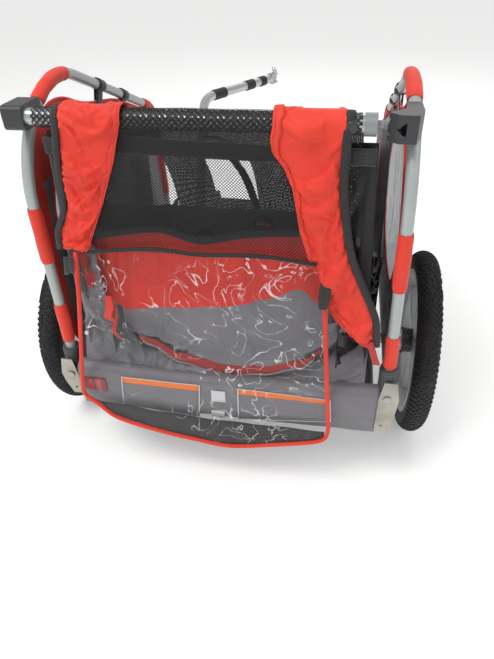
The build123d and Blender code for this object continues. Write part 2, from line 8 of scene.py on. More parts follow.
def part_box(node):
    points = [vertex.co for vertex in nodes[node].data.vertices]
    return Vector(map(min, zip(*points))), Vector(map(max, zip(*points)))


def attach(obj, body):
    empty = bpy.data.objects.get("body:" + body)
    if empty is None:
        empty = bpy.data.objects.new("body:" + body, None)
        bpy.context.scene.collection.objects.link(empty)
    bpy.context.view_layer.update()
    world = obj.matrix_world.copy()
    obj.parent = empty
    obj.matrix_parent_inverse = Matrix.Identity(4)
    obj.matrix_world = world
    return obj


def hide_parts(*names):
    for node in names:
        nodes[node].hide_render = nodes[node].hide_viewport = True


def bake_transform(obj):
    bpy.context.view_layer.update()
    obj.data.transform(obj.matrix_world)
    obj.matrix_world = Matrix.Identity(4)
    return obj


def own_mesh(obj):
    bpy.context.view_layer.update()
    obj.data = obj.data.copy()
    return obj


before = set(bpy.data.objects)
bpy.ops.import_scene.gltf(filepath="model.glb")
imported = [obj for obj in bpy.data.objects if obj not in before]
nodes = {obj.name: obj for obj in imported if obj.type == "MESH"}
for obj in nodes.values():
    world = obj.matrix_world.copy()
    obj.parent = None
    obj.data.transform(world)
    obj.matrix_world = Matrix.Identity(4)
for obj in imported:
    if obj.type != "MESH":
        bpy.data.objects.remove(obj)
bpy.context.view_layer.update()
scene = bpy.context.scene

# the rear legs stand just behind the rear cross tube. "ahead" is measured forward from them.
crossLow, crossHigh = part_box("rear_cross_tube")
rearLine = (crossLow[1] + crossHigh[1]) / 2 - 0.014
hingeHeight = {"left": 0.225, "right": 0.257}
rearFoot = {"left": 0.030, "right": 0.010}
sideSign = {"left": -1, "right": 1}
barAhead, barHeight = 0.012, 0.731


def at(x, ahead, z):
    return Vector((x, rearLine + ahead, z))


# helpers for meshes, colours and cloth

def hexColour(text):
    def linear(channel):
        value = int(channel, 16) / 255
        return value / 12.92 if value <= 0.04045 else ((value + 0.055) / 1.055) ** 2.4
    return (linear(text[0:2]), linear(text[2:4]), linear(text[4:6]), 1.0)


def newMaterial(name):
    material = bpy.data.materials.new(name)
    material.use_nodes = True
    tree = material.node_tree
    tree.nodes.clear()
    output = tree.nodes.new("ShaderNodeOutputMaterial")
    return material, tree, output


def addNode(tree, kind, settings=None, links=None):
    made = tree.nodes.new(kind)
    for key, value in (settings or {}).items():
        if isinstance(key, int) or key in made.inputs:
            made.inputs[key].default_value = value
        else:
            setattr(made, key, value)
    for key, source in (links or {}).items():
        tree.links.new(source, made.inputs[key])
    return made


def smoothLine(points, share):
    # a point on a Catmull-Rom line through the points
    count = len(points) - 1
    place = min(max(share, 0.0), 1.0) * count
    index = min(int(place), count - 1)
    t = place - index
    b, c = points[index], points[index + 1]
    a = points[index - 1] if index else b * 2 - c
    d = points[index + 2] if index + 2 <= count else c * 2 - b
    return 0.5 * ((2 * b) + (c - a) * t + (2 * a - 5 * b + 4 * c - d) * t * t + (3 * b - a - 3 * c + d) * t ** 3)


def profileAt(table, height):
    # reads the second column of a (height, value) table, highest first
    for (highZ, highX), (lowZ, lowX) in zip(table, table[1:]):
        if height >= lowZ:
            t = min(max((height - lowZ) / (highZ - lowZ), 0), 1)
            return lowX + (highX - lowX) * t
    return table[-1][1]


def finishPiece(bm, name, materials, body, smooth=True, replaces=()):
    mesh = bpy.data.meshes.new(name)
    bm.to_mesh(mesh)
    bm.free()
    piece = bpy.data.objects.new(name, mesh)
    scene.collection.objects.link(piece)
    for material in materials if isinstance(materials, (list, tuple)) else [materials]:
        mesh.materials.append(material)
    for face in mesh.polygons:
        face.use_smooth = smooth
    if body:
        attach(piece, body)
    if replaces:
        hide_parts(*replaces)
    return piece


def clothGrid(columns, rows, place, size=(1, 1)):
    # a grid put in place by place(u, v), with its flat size in metres as its UV map
    bm = bmesh.new()
    layer = bm.loops.layers.uv.new("flat")
    bmesh.ops.create_grid(bm, x_segments=columns, y_segments=rows, size=0.5)
    for face in bm.faces:
        for loop in face.loops:
            u, v = loop.vert.co.x + 0.5, loop.vert.co.y + 0.5
            loop[layer].uv = (u * size[0], v * size[1])
    spots = {vert: place(vert.co.x + 0.5, vert.co.y + 0.5) for vert in bm.verts}
    for vert, spot in spots.items():
        vert.co = spot
    return bm


def thicken(piece, thickness, levels=0):
    solid = piece.modifiers.new("thickness", "SOLIDIFY")
    solid.thickness = thickness
    solid.offset = 0
    if levels:
        smooth = piece.modifiers.new("smooth", "SUBSURF")
        smooth.levels = levels
        smooth.render_levels = levels
    return piece


def ribbonAlong(name, points, width, thickness, material, body, across=Vector((1, 0, 0)),
                segments=40):
    # webbing of a given width along a smooth line
    def place(u, v):
        return smoothLine(points, v) + across * ((u - 0.5) * width)
    length = sum((smoothLine(points, (i + 1) / 40) - smoothLine(points, i / 40)).length for i in range(40))
    piece = finishPiece(clothGrid(4, segments, place, (width, length)), name, material, body)
    return thicken(piece, thickness)


def pipeAlong(name, points, radius, material, body, closed=False, sides=8, smoothed=True):
    # a corded edge: a round skin along a line, made a mesh
    count = max(16, len(points) * 6) if smoothed else len(points) - 1
    line = [smoothLine(points, i / count) for i in range(count + 1)] if smoothed else points

    def place(u, v):
        index = min(int(round(v * count)), count)
        ahead = line[min(index + 1, count)] - line[max(index - 1, 0)]
        if closed and index in (0, count):
            ahead = line[1] - line[count - 1]
        ahead.normalize()
        side = ahead.cross(Vector((0.3, 0.2, 1))).normalized()
        over = ahead.cross(side)
        angle = 2 * math.pi * u
        return line[index] + (side * math.cos(angle) + over * math.sin(angle)) * radius
    bm = clothGrid(sides, count, place, (2 * math.pi * radius, 1))
    bmesh.ops.remove_doubles(bm, verts=bm.verts, dist=radius * 0.05)
    if not closed:
        bmesh.ops.holes_fill(bm, edges=bm.edges, sides=sides + 1)
    bmesh.ops.recalc_face_normals(bm, faces=bm.faces)
    return finishPiece(bm, name, material, body)


def settleCloth(piece, pins, frames, cap, gravity, **tune):
    # runs the cloth solver on a pinned piece and keeps each point within cap of its start
    start = [vert.co.copy() for vert in piece.data.vertices]
    group = piece.vertex_groups.new(name="pins")
    for index in range(len(start)):
        if pins(index):
            group.add([index], 1.0, "REPLACE")
    cloth = piece.modifiers.new("cloth", "CLOTH")
    cloth.settings.vertex_group_mass = "pins"
    for key, value in tune.items():
        setattr(cloth.settings, key, value)
    cloth.settings.effector_weights.gravity = gravity
    cloth.point_cache.frame_start = 1
    cloth.point_cache.frame_end = frames
    for step in range(1, frames + 1):
        scene.frame_set(step)
    graph = bpy.context.evaluated_depsgraph_get()
    moved = [vert.co.copy() for vert in piece.evaluated_get(graph).data.vertices]
    piece.modifiers.remove(cloth)
    piece.vertex_groups.clear()
    for vert, old, new in zip(piece.data.vertices, start, moved):
        shift = new - old
        if shift.length > cap:
            shift = shift.normalized() * cap
        vert.co = old + shift
    scene.frame_set(1)


nylonCloth = {"tension": 8, "shear": 4.8, "bending": 0.4, "mass": 0.12}


def buckleSheet(piece, columns, rows, slack, frames, cap, gravity=0.3):
    # the sheet is cut larger, by slack, than the edges that hold it, so it buckles into folds
    def pins(index):
        column, row = index % (columns + 1), index // (columns + 1)
        return column in (0, columns) or row in (0, rows)
    settleCloth(piece, pins, frames, cap, gravity, shrink_min=-slack, mass=nylonCloth["mass"],
                tension_stiffness=nylonCloth["tension"], compression_stiffness=nylonCloth["tension"],
                shear_stiffness=nylonCloth["shear"], bending_stiffness=nylonCloth["bending"])


def foldFlat(height, keep, *pieces):
    # each soft piece gets its own copy of its mesh
    for piece in pieces:
        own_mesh(piece)


def creases(u, v, seed):
    # deep diagonal folds, sharp along their ridges, as nylon hangs between a tight hem and a gathered edge
    total = 0.0
    for slope, count, height in ((0.9, 2.6, 0.0085), (-0.7, 3.4, 0.0060), (0.35, 6.5, 0.0030)):
        bend = noise.noise(Vector((u * 1.7, v * 4.0, seed + count)))
        n = noise.noise(Vector(((v + slope * u * 0.35 + bend * 0.10) * count * 2.2, u * 1.1, seed * 1.7 + count)))
        total += height * (0.62 - abs(n) * 2.6)
    return total


def ripples(spot, scale, height, seed=0.0):
    # smooth creases: ridged noise stretched along the cloth's fall
    n = noise.noise(Vector((spot.x * scale + seed, spot.y * scale, spot.z * scale * 0.55)))
    m = noise.noise(Vector((spot.x * scale * 2.3 - seed, spot.y * scale * 2, spot.z * scale * 1.4 + 5)))
    return height * ((1 - abs(n) * 2) * 0.7 + m * 0.5)


# materials

def wovenNylon(name, colour, dark, weave=0.9, crease=0.25, rough=0.62, sheen=0.12, translucent=0.0):
    # coated woven nylon: fine crossing threads, soft creases and a little sheen
    material, tree, output = newMaterial(name)
    spot = {"Vector": addNode(tree, "ShaderNodeTexCoord").outputs["Object"]}
    # at scale 1 a wave repeats every 0.314 m, so thread and gap are each weave mm wide
    threads = addNode(tree, "ShaderNodeTexWave",
                      {"Scale": 1000 / (weave * 6.3), "Distortion": 0.4, "bands_direction": "X"}, spot)
    cross = addNode(tree, "ShaderNodeTexWave",
                    {"Scale": 1000 / (weave * 6.3), "Distortion": 0.4, "bands_direction": "Z"}, spot)
    weaveMix = addNode(tree, "ShaderNodeMath", {"operation": "MULTIPLY"},
                       {0: threads.outputs["Fac"], 1: cross.outputs["Fac"]})
    creases = addNode(tree, "ShaderNodeTexNoise",
                      {"Scale": 26.0, "Detail": 5.0, "Roughness": 0.62, "Distortion": 0.8}, spot)
    blotch = addNode(tree, "ShaderNodeTexNoise", {"Scale": 9.0, "Detail": 3.0}, spot)
    tone = addNode(tree, "ShaderNodeMapRange", {"From Min": 0.3, "From Max": 0.7}, {"Value": blotch.outputs["Fac"]})
    shade = addNode(tree, "ShaderNodeMix", {"data_type": "RGBA", 6: hexColour(dark), 7: hexColour(colour)},
                    {0: tone.outputs["Result"]})
    bumpWeave = addNode(tree, "ShaderNodeBump", {"Strength": 0.25, "Distance": 0.0004},
                        {"Height": weaveMix.outputs[0]})
    bump = addNode(tree, "ShaderNodeBump", {"Strength": crease, "Distance": 0.006},
                   {"Height": creases.outputs["Fac"], "Normal": bumpWeave.outputs["Normal"]})
    skin = addNode(tree, "ShaderNodeBsdfPrincipled",
                   {"Roughness": rough, "Sheen Weight": sheen, "Sheen Roughness": 0.5},
                   {"Base Color": shade.outputs[2], "Normal": bump.outputs["Normal"]})
    shown = skin.outputs["BSDF"]
    if translucent:
        glow = addNode(tree, "ShaderNodeBsdfTranslucent", {}, {"Color": shade.outputs[2]})
        both = addNode(tree, "ShaderNodeMixShader", {0: translucent}, {1: shown, 2: glow.outputs[0]})
        shown = both.outputs[0]
    tree.links.new(shown, output.inputs["Surface"])
    return material


def openMesh(name, colour, pitch, openness, tilt=45):
    # knitted mesh: round holes in rows, drawn from the piece's own flat UV map in metres
    material, tree, output = newMaterial(name)
    place = addNode(tree, "ShaderNodeUVMap", {"uv_map": "flat"})
    turned = addNode(tree, "ShaderNodeMapping",
                     {"Scale": (1 / pitch, 1 / pitch, 1), "Rotation": (0, 0, math.radians(tilt))},
                     {"Vector": place.outputs[0]})
    cells = addNode(tree, "ShaderNodeTexVoronoi", {"Scale": 1.0, "Randomness": 0.0}, {"Vector": turned.outputs[0]})
    hole = addNode(tree, "ShaderNodeMath", {"operation": "GREATER_THAN", 1: openness},
                   {0: cells.outputs["Distance"]})
    knit = addNode(tree, "ShaderNodeBump", {"Strength": 0.6, "Distance": 0.0008},
                   {"Height": cells.outputs["Distance"]})
    skin = addNode(tree, "ShaderNodeBsdfPrincipled", {"Base Color": hexColour(colour), "Roughness": 0.55},
                   {"Alpha": hole.outputs[0], "Normal": knit.outputs["Normal"]})
    tree.links.new(skin.outputs[0], output.inputs["Surface"])
    return material


def clearFilm(name, tint, haze, paintedGlintStrength=0.75, spots=17.0, grazing=0.45, skin="e9edef"):
    # clear vinyl film: nearly invisible but for haze and a few hard painted highlights along crumpled creases,
    # where a noise mask mixes in the pale film
    material, tree, output = newMaterial(name)
    spot = {"Vector": addNode(tree, "ShaderNodeTexCoord").outputs["Object"]}
    crumple = addNode(tree, "ShaderNodeTexNoise",
                      {"Scale": spots, "Detail": 2.0, "Roughness": 0.5, "Distortion": 1.6}, spot)
    # painted highlights: thin lines along the crumple noise, kept to scattered patches, mix in the pale film
    ridge = addNode(tree, "ShaderNodeMath", {"operation": "SUBTRACT", 1: 0.5}, {0: crumple.outputs["Fac"]})
    sharp = addNode(tree, "ShaderNodeMath", {"operation": "ABSOLUTE"}, {0: ridge.outputs[0]})
    line = addNode(tree, "ShaderNodeMapRange", {"From Max": 0.014, "To Min": 1.0, "To Max": 0.0},
                   {"Value": sharp.outputs[0]})
    where = addNode(tree, "ShaderNodeTexNoise", {"Scale": 11.0, "Detail": 3.0, "Roughness": 0.7}, spot)
    patch = addNode(tree, "ShaderNodeMapRange", {"From Min": 0.46, "From Max": 0.60},
                    {"Value": where.outputs["Fac"]})
    paintedGlint = addNode(tree, "ShaderNodeMath", {"operation": "MULTIPLY"},
                    {0: line.outputs["Result"], 1: patch.outputs["Result"]})
    bump = addNode(tree, "ShaderNodeBump", {"Strength": 0.3, "Distance": 0.004}, {"Height": crumple.outputs["Fac"]})
    clear = addNode(tree, "ShaderNodeBsdfTransparent", {"Color": hexColour(tint)})
    film = addNode(tree, "ShaderNodeBsdfPrincipled",
                   {"Base Color": hexColour(skin), "Roughness": 0.12, "Specular IOR Level": 0.8},
                   {"Normal": bump.outputs["Normal"]})
    facing = addNode(tree, "ShaderNodeLayerWeight", {"Blend": 0.5})
    graze = addNode(tree, "ShaderNodeMath", {"operation": "POWER", 1: 3.5}, {0: facing.outputs["Facing"]})
    gloss = addNode(tree, "ShaderNodeMath", {"operation": "MULTIPLY", 1: grazing}, {0: graze.outputs[0]})
    amount = addNode(tree, "ShaderNodeMath", {"operation": "MULTIPLY_ADD", 1: paintedGlintStrength},
                     {0: paintedGlint.outputs[0], 2: gloss.outputs[0]})
    total = addNode(tree, "ShaderNodeMath", {"operation": "ADD", 1: haze, "use_clamp": True},
                    {0: amount.outputs[0]})
    both = addNode(tree, "ShaderNodeMixShader", {}, {0: total.outputs[0], 1: clear.outputs[0], 2: film.outputs[0]})
    tree.links.new(both.outputs[0], output.inputs["Surface"])
    return material


def plainCoat(name, colour, dark, rough, metallic=0.0, grain=0.0, grainScale=400, stretch=(1, 1, 1), speckle=0.0,
              coat=0.0):
    # moulded, painted or plated surface with fine grain and slight tone changes
    material, tree, output = newMaterial(name)
    spot = {"Vector": addNode(tree, "ShaderNodeTexCoord").outputs["Object"]}
    spread = addNode(tree, "ShaderNodeMapping", {"Scale": stretch}, spot)
    fine = addNode(tree, "ShaderNodeTexNoise", {"Scale": grainScale, "Detail": 3.0}, {"Vector": spread.outputs[0]})
    broad = addNode(tree, "ShaderNodeTexNoise", {"Scale": 22.0, "Detail": 4.0}, spot)
    tone = addNode(tree, "ShaderNodeMapRange", {"From Min": 0.35, "From Max": 0.65},
                   {"Value": broad.outputs["Fac"]})
    shade = addNode(tree, "ShaderNodeMix", {"data_type": "RGBA", 6: hexColour(dark), 7: hexColour(colour)},
                    {0: tone.outputs["Result"]})
    wear = addNode(tree, "ShaderNodeMapRange", {"To Min": rough - speckle, "To Max": rough + speckle},
                   {"Value": fine.outputs["Fac"]})
    bump = addNode(tree, "ShaderNodeBump", {"Strength": grain, "Distance": 0.0006}, {"Height": fine.outputs["Fac"]})
    skin = addNode(tree, "ShaderNodeBsdfPrincipled", {"Metallic": metallic, "Coat Weight": coat},
                   {"Base Color": shade.outputs[2], "Roughness": wear.outputs["Result"],
                    "Normal": bump.outputs["Normal"]})
    tree.links.new(skin.outputs[0], output.inputs["Surface"])
    return material


def wovenStrap(name, colour, dark, pitch=0.0016):
    # polypropylene webbing: diagonal ribs across the strap
    material, tree, output = newMaterial(name)
    place = addNode(tree, "ShaderNodeUVMap", {"uv_map": "flat"})
    # rib and gap are each one pitch wide
    ribs = addNode(tree, "ShaderNodeTexWave", {"Scale": 0.16 / pitch, "Distortion": 0.6, "bands_direction": "Y"},
                   {"Vector": place.outputs[0]})
    # painted highlight and shade: the rib tops take the lighter colour and the gaps between them the darker one
    shade = addNode(tree, "ShaderNodeMix", {"data_type": "RGBA", 6: hexColour(dark), 7: hexColour(colour)},
                    {0: ribs.outputs["Fac"]})
    bump = addNode(tree, "ShaderNodeBump", {"Strength": 0.5, "Distance": 0.0006}, {"Height": ribs.outputs["Fac"]})
    skin = addNode(tree, "ShaderNodeBsdfPrincipled", {"Roughness": 0.7, "Sheen Weight": 0.3},
                   {"Base Color": shade.outputs[2], "Normal": bump.outputs["Normal"]})
    tree.links.new(skin.outputs[0], output.inputs["Surface"])
    return material


redNylon = wovenNylon("redNylon", "f2412b", "e2331d", crease=0.35,
                      translucent=0.12)  # lit from behind, it glows a little
redNylonPaintedShade = wovenNylon("redNylonPaintedShade", "dd2a12", "c9230d", crease=0.3)  # painted shade: the same red cloth drawn deeper in tone, as if in shade
darkRedHem = wovenNylon("darkRedHem", "a3241b", "861a14")  # doubled hem and thread, dull and dark
greyNylon = wovenNylon("greyNylon", "77757a", "67666b", crease=0.4, rough=0.5,
                       sheen=0.2)  # coated cloth with a soft sheen
darkGreyNylon = wovenNylon("darkGreyNylon", "4a484c", "3a393d", crease=0.4)  # floor and seat cloth, matt
blackNylon = wovenNylon("blackNylon", "232222", "191818", crease=0.5)  # binding tape, creased where it gathers
bindingNylon = wovenNylon("blackBindingNylon", "161515", "0f0e0e")  # a tight seam that reads as a dark line
fineMesh = openMesh("fineMesh", "0a0a0a", 0.0038,
                    0.385)  # insect screen, drawn coarser than its real 1.5 mm to show
doubleMesh = openMesh("doubleMesh", "080808", 0.0052, 0.13)  # two layers, nearly closed, so what is behind is dim; inside the side windows it is a painted shade sheet
coarseMesh = openMesh("coarseMesh", "131313", 0.0066, 0.36)  # spacer mesh, its 6 mm cells show the bar between them
clearVinyl = clearFilm("clearVinyl", "fafafa", 0.02)  # clear sheet, seen by its hard painted highlights along crumpled creases
sideVinylPaintedShade = clearFilm("sideWindowVinylPaintedShade", "8f9293", 0.05, grazing=0.22, skin="7f8486")  # clear sheet with a grey tint and grey skin: painted shade for the dim inside seen through it
blackWebbing = wovenStrap("blackWebbing", "2c2b2b", "171717")  # painted highlights: small grey lights drawn on the ribs
redWebbing = wovenStrap("redWebbing", "c9301f", "9c2015")  # ribbed red tape
greyWebbing = wovenStrap("greyWebbing", "9b9b9b", "6f6f70")  # pale reflective piping, matt here
silverTube = plainCoat("silverPaintedTube", "a9b0ae", "a6adab", 0.38, metallic=0.25, speckle=0.05, grain=0.05,
                       coat=0.15)  # cool grey paint, long soft highlights
brushedBar = plainCoat("anodisedBar", "b9bcbc", "b6b9b9", 0.32, metallic=0.85, speckle=0.08, grain=0.12,
                       stretch=(0.03, 1, 1))  # drawn aluminium, fine lines along the bar
zincPlate = plainCoat("zincPlatedSheet", "b5b2a6", "98958c", 0.42, metallic=0.75, speckle=0.12, grain=0.15,
                      grainScale=120)  # warm, cloudy plating
turnedSteel = plainCoat("turnedSteel", "a9a9a8", "a5a5a4", 0.3, metallic=0.95, speckle=0.08)  # bright machined pins
chromeSteel = plainCoat("chromedSteel", "d6d8d9", "d3d5d6", 0.12, metallic=1.0, speckle=0.03)  # mirror-like pin
greySocket = plainCoat("greyRibbedNylonPlastic", "4b4d4f", "484a4c", 0.5, grain=0.2,
                       speckle=0.08)  # dull moulded ribs
blackPlastic = plainCoat("blackMouldedPlastic", "35373a", "323437", 0.42, grain=0.25, speckle=0.08,
                         grainScale=900)  # fine spark-eroded grain, soft highlights
rimPlastic = plainCoat("silverGreyRimPlastic", "a2a5a6", "9fa2a3", 0.4, metallic=0.2, grain=0.15,
                       speckle=0.08)  # metal-flake
hubPlastic = plainCoat("darkHubPlastic", "3a3b3d", "37383a", 0.45, grain=0.15)  # plain dark moulding
tyreRubber = plainCoat("tyreRubber", "26272a", "1d1e20", 0.72, grain=0.4, speckle=0.1,
                       grainScale=700)  # dry, dusty black
wrapRubber = plainCoat("wrapRubber", "1e1e1f", "1b1b1c", 0.6, grain=0.4, speckle=0.1)  # soft matt foam
blackGloss = plainCoat("blackLeatherette", "1c1a1c", "191719", 0.24, grain=0.5, grainScale=60,
                       speckle=0.08)  # wet-looking
labelWhite = plainCoat("printedLabelWhite", "d5d6d6", "d2d3d3", 0.35, speckle=0.05)  # satin blank label
labelGrey = plainCoat("printedLabelGrey", "77757a", "747277", 0.38,
                      speckle=0.05)  # label ground, a shade off the cloth
labelOrange = plainCoat("printedLabelOrange", "f07a2a", "ed7727", 0.35, speckle=0.05)  # header band
print("materials made")


def reflectorRed():
    # moulded red reflector: small prisms under a smooth face
    material, tree, output = newMaterial("prismaticRedPlastic")
    spot = {"Vector": addNode(tree, "ShaderNodeTexCoord").outputs["Object"]}
    cells = addNode(tree, "ShaderNodeTexVoronoi", {"Scale": 330.0, "Randomness": 0.0}, spot)
    bands = addNode(tree, "ShaderNodeTexWave", {"Scale": 16.0, "bands_direction": "X"}, spot)
    shade = addNode(tree, "ShaderNodeMix", {"data_type": "RGBA", 6: hexColour("5d0c10"), 7: hexColour("c01d22")},
                    {0: bands.outputs["Fac"]})
    bump = addNode(tree, "ShaderNodeBump", {"Strength": 0.7, "Distance": 0.001},
                   {"Height": cells.outputs["Distance"]})
    skin = addNode(tree, "ShaderNodeBsdfPrincipled", {"Roughness": 0.18, "Coat Weight": 0.6},
                   {"Base Color": shade.outputs[2], "Normal": bump.outputs["Normal"]})
    tree.links.new(skin.outputs[0], output.inputs["Surface"])
    return material


# carried-over CAD parts

nodeFinish = {
    silverTube: ["side_loop_*"],
    plainCoat("greyPaintedTube", "7f8384", "7c8081", 0.45, metallic=0.2, grain=0.1):
        ["side_rail_*", "rear_cross_tube", "front_cross_tube"],
    brushedBar: ["crossbar_tube", "tow_arm_tube", "tow_eye", "tow_fork"],
    plainCoat("greyCollar", "8f9496", "8c9193", 0.4, metallic=0.3): ["crossbar_tongue"],
    zincPlate: ["rear_hinge_bracket_*", "front_hinge_bracket_*", "axle_bracket_*", "tow_bracket"],
    turnedSteel: ["hinge_pins", "axle_*", "crossbar_pin", "tow_bolt", "hub_bearings_*", "hitch_coupler"],
    chromeSteel: ["hitch_pin"],
    greySocket: ["rear_socket_*", "front_socket_*"],
    blackPlastic: ["crossbar_block", "crossbar_end_block", "crossbar_knob", "tow_clamp_knob", "axle_button_*"],
    rimPlastic: ["wheel_rim_*"],
    wrapRubber: ["inner_tube_*", "tow_arm_wraps"],
    reflectorRed(): ["rear_reflector"],
}


def bothSides(name):
    # a star stands for left and right
    return [name.replace("*", side) for side in sideSign] if "*" in name else [name]


for finish, names in nodeFinish.items():
    for name in sum(map(bothSides, names), []):
        mesh = nodes[name].data
        if not mesh.materials:
            mesh.materials.append(finish)
        for index in range(len(mesh.materials)):
            mesh.materials[index] = finish
print("CAD finishes set")

# frame line, shared by sleeves, panels and straps

loopShape = {"lean": math.radians(2.4), "legSlope": -0.0595, "topAhead": 0.216, "topZ": 0.750, "fall": 0.38,
             "frontAhead": 0.640, "frontFoot": 0.725, "topBend": 0.160, "frontBend": 0.090, "halfWidth": 0.313}


def onSide(side, ahead, up, inward=0.0):
    # a point in a side frame's leaning plane. up is measured along the plane from its hinge line.
    shape = loopShape
    x = shape["halfWidth"] - up * math.sin(shape["lean"]) - inward
    return at(sideSign[side] * x, ahead, hingeHeight[side] + up * math.cos(shape["lean"]))


def loopRoute(side, steps=10):
    # the frame tube's centre line, foot to foot, as (ahead, up) points
    shape, foot, hinge = loopShape, rearFoot[side], hingeHeight[side]
    rise = shape["topZ"] - hinge + shape["fall"] * (shape["topAhead"] - foot)
    top = rise / (math.cos(shape["lean"]) + shape["fall"] * shape["legSlope"])
    front = shape["topZ"] - hinge - shape["fall"] * (shape["frontAhead"] - shape["topAhead"])
    front /= math.cos(shape["lean"])
    corners = [Vector((foot, 0)), Vector((foot + shape["legSlope"] * top, top)),
               Vector((shape["frontAhead"], front)), Vector((shape["frontFoot"], 0))]
    bends = []
    for index, radius in ((1, shape["topBend"]), (2, shape["frontBend"])):
        before = (corners[index - 1] - corners[index]).normalized()
        after = (corners[index + 1] - corners[index]).normalized()
        half = before.angle(after) / 2
        reach = radius / math.tan(half)
        centre = corners[index] + (before + after).normalized() * (radius / math.sin(half))
        start, end = corners[index] + before * reach, corners[index] + after * reach
        turn = (start - centre).angle_signed(end - centre)
        arc = [centre + Matrix.Rotation(-turn * i / (steps * 2), 2) @ (start - centre)
               for i in range(steps * 2 + 1)]
        bends.append(arc)
    route = [corners[0].lerp(bends[0][0], i / 10) for i in range(10)] + bends[0]
    route += [bends[0][-1].lerp(bends[1][0], i / 8) for i in range(1, 8)] + bends[1]
    route += [bends[1][-1].lerp(corners[3], i / 8) for i in range(1, 9)]
    return route


def lengthShares(points):
    total, shares = 0.0, [0.0]
    for a, b in zip(points, points[1:]):
        total += (b - a).length
        shares.append(total)
    return [share / total for share in shares], total


def alongRoute(points, shares, share):
    for index in range(len(points) - 1):
        if share <= shares[index + 1] or index == len(points) - 2:
            span = max(shares[index + 1] - shares[index], 1e-9)
            return points[index].lerp(points[index + 1], (share - shares[index]) / span)


def shareNear(side, points, shares, ahead, z):
    # how far along the route the point nearest to (ahead, z) lies
    target = Vector((ahead, (z - hingeHeight[side]) / math.cos(loopShape["lean"])))
    best = min(range(401), key=lambda i: (alongRoute(points, shares, i / 400) - target).length)
    return best / 400


sleeve = {"radius": 0.0107, "wrinkle": 0.0008,
          "bands": [((0.020, 0.300), (0.011, 0.387)), ((-0.004, 0.482), (-0.008, 0.585)),
          ((0.087, 0.729), (0.193, 0.760)), ((0.572, 0.616), (0.700, 0.335))]}
routes = {}
for side in ("left", "right"):
    route = loopRoute(side)
    shares, routeLength = lengthShares(route)
    routes[side] = (route, shares, routeLength)
    whole = bmesh.new()
    layer = whole.loops.layers.uv.new("flat")
    for band, (low, high) in enumerate(sleeve["bands"]):
        start = shareNear(side, route, shares, *low)
        end = shareNear(side, route, shares, *high)
        if side == "right" and band == 0:
            start += 0.012

        def place(u, v, start=start, end=end, band=band):
            share = start + (end - start) * v
            centre = alongRoute(route, shares, share)
            ahead = (alongRoute(route, shares, min(share + 0.004, 1)) - alongRoute(route, shares,
                max(share - 0.004, 0))).normalized()
            out = Vector((-ahead.y, ahead.x))
            angle = 2 * math.pi * u
            radius = sleeve["radius"]
            if 0.03 < v < 0.97:
                radius += sleeve["wrinkle"] * noise.noise(Vector((math.cos(angle) * 1.6, math.sin(angle) * 1.6,
                    share * 70 + band * 9)))
                radius += 0.0008
            flat = centre + out * (math.cos(angle) * radius)
            return onSide(side, flat.x, flat.y, inward=-math.sin(angle) * radius)
        piece = clothGrid(20, 44, place, (0.09, (end - start) * routeLength))
        bmesh.ops.remove_doubles(piece, verts=piece.verts, dist=0.0002)
        bmesh.ops.recalc_face_normals(piece, faces=piece.faces)
        mesh = bpy.data.meshes.new("band")
        piece.to_mesh(mesh)
        piece.free()
        whole.from_mesh(mesh)
        bpy.data.meshes.remove(mesh)
    sleeves = finishPiece(whole, f"fabricSleeves_{side}", redNylon, f"{side}_frame",
                          replaces=[f"tube_sleeves_{side}"])
    thicken(sleeves, 0.0008)
print("sleeves made")

# side panels: grey fabric, red top, clear window, red piping

panel = {"around": 168, "rings": 9, "bottomZ": 0.212, "gapRear": 0.0135, "gapTop": 0.043, "gapFront": 0.016}
strapLoop = {"places": ((0.330, 0.706), (0.450, 0.662)), "radius": 0.0116, "width": 0.026, "end": 0.08,
             "tail": 0.034,
             "pinch": 0.35}
windowShape = [(0.085, 0.600), (0.120, 0.655), (0.200, 0.672), (0.330, 0.640), (0.440, 0.585), (0.490, 0.520),
               (0.470, 0.430), (0.400, 0.385), (0.280, 0.375), (0.160, 0.400), (0.090, 0.470), (0.070, 0.540)]


def panelOutline(side):
    # the panel's edge as (ahead, z), from the rear bottom corner up and over to the front
    route, shares, _ = routes[side]
    points = [(0.066, panel["bottomZ"]), (0.064, hingeHeight[side] + 0.04)]
    startShare = shareNear(side, route, shares, 0.0, hingeHeight[side] + 0.085)
    endShare = shareNear(side, route, shares, 0.70, hingeHeight[side] + 0.085)
    for i in range(61):
        share = startShare + (endShare - startShare) * i / 60
        centre = alongRoute(route, shares, share)
        ahead = (alongRoute(route, shares, min(share + 0.004, 1)) - alongRoute(route, shares,
            max(share - 0.004, 0))).normalized()
        inside = Vector((ahead.y, -ahead.x))
        topness = max(0.0, 1 - abs(i / 60 - 0.46) / 0.17)
        topness = topness * topness * (3 - 2 * topness)
        gap = panel["gapRear"] + (panel["gapTop"] - panel["gapRear"]) * topness
        spot = centre + inside * gap
        points.append((spot.x, hingeHeight[side] + spot.y * math.cos(loopShape["lean"])))
    points += [(0.664, hingeHeight[side] + 0.04), (0.662, panel["bottomZ"])]
    points += [(0.662 - 0.596 * i / 12, panel["bottomZ"]) for i in range(1, 12)]
    return points


def evenRing(points, count):
    # the closed outline as count evenly spaced points
    closed = [Vector(p) for p in points] + [Vector(points[0])]
    shares, total = lengthShares(closed)
    return [alongRoute(closed, shares, i / count) for i in range(count)], total


def panelPoint(side, ahead, z, inward=0.0):
    return onSide(side, ahead, (z - hingeHeight[side]) / math.cos(loopShape["lean"]), inward)


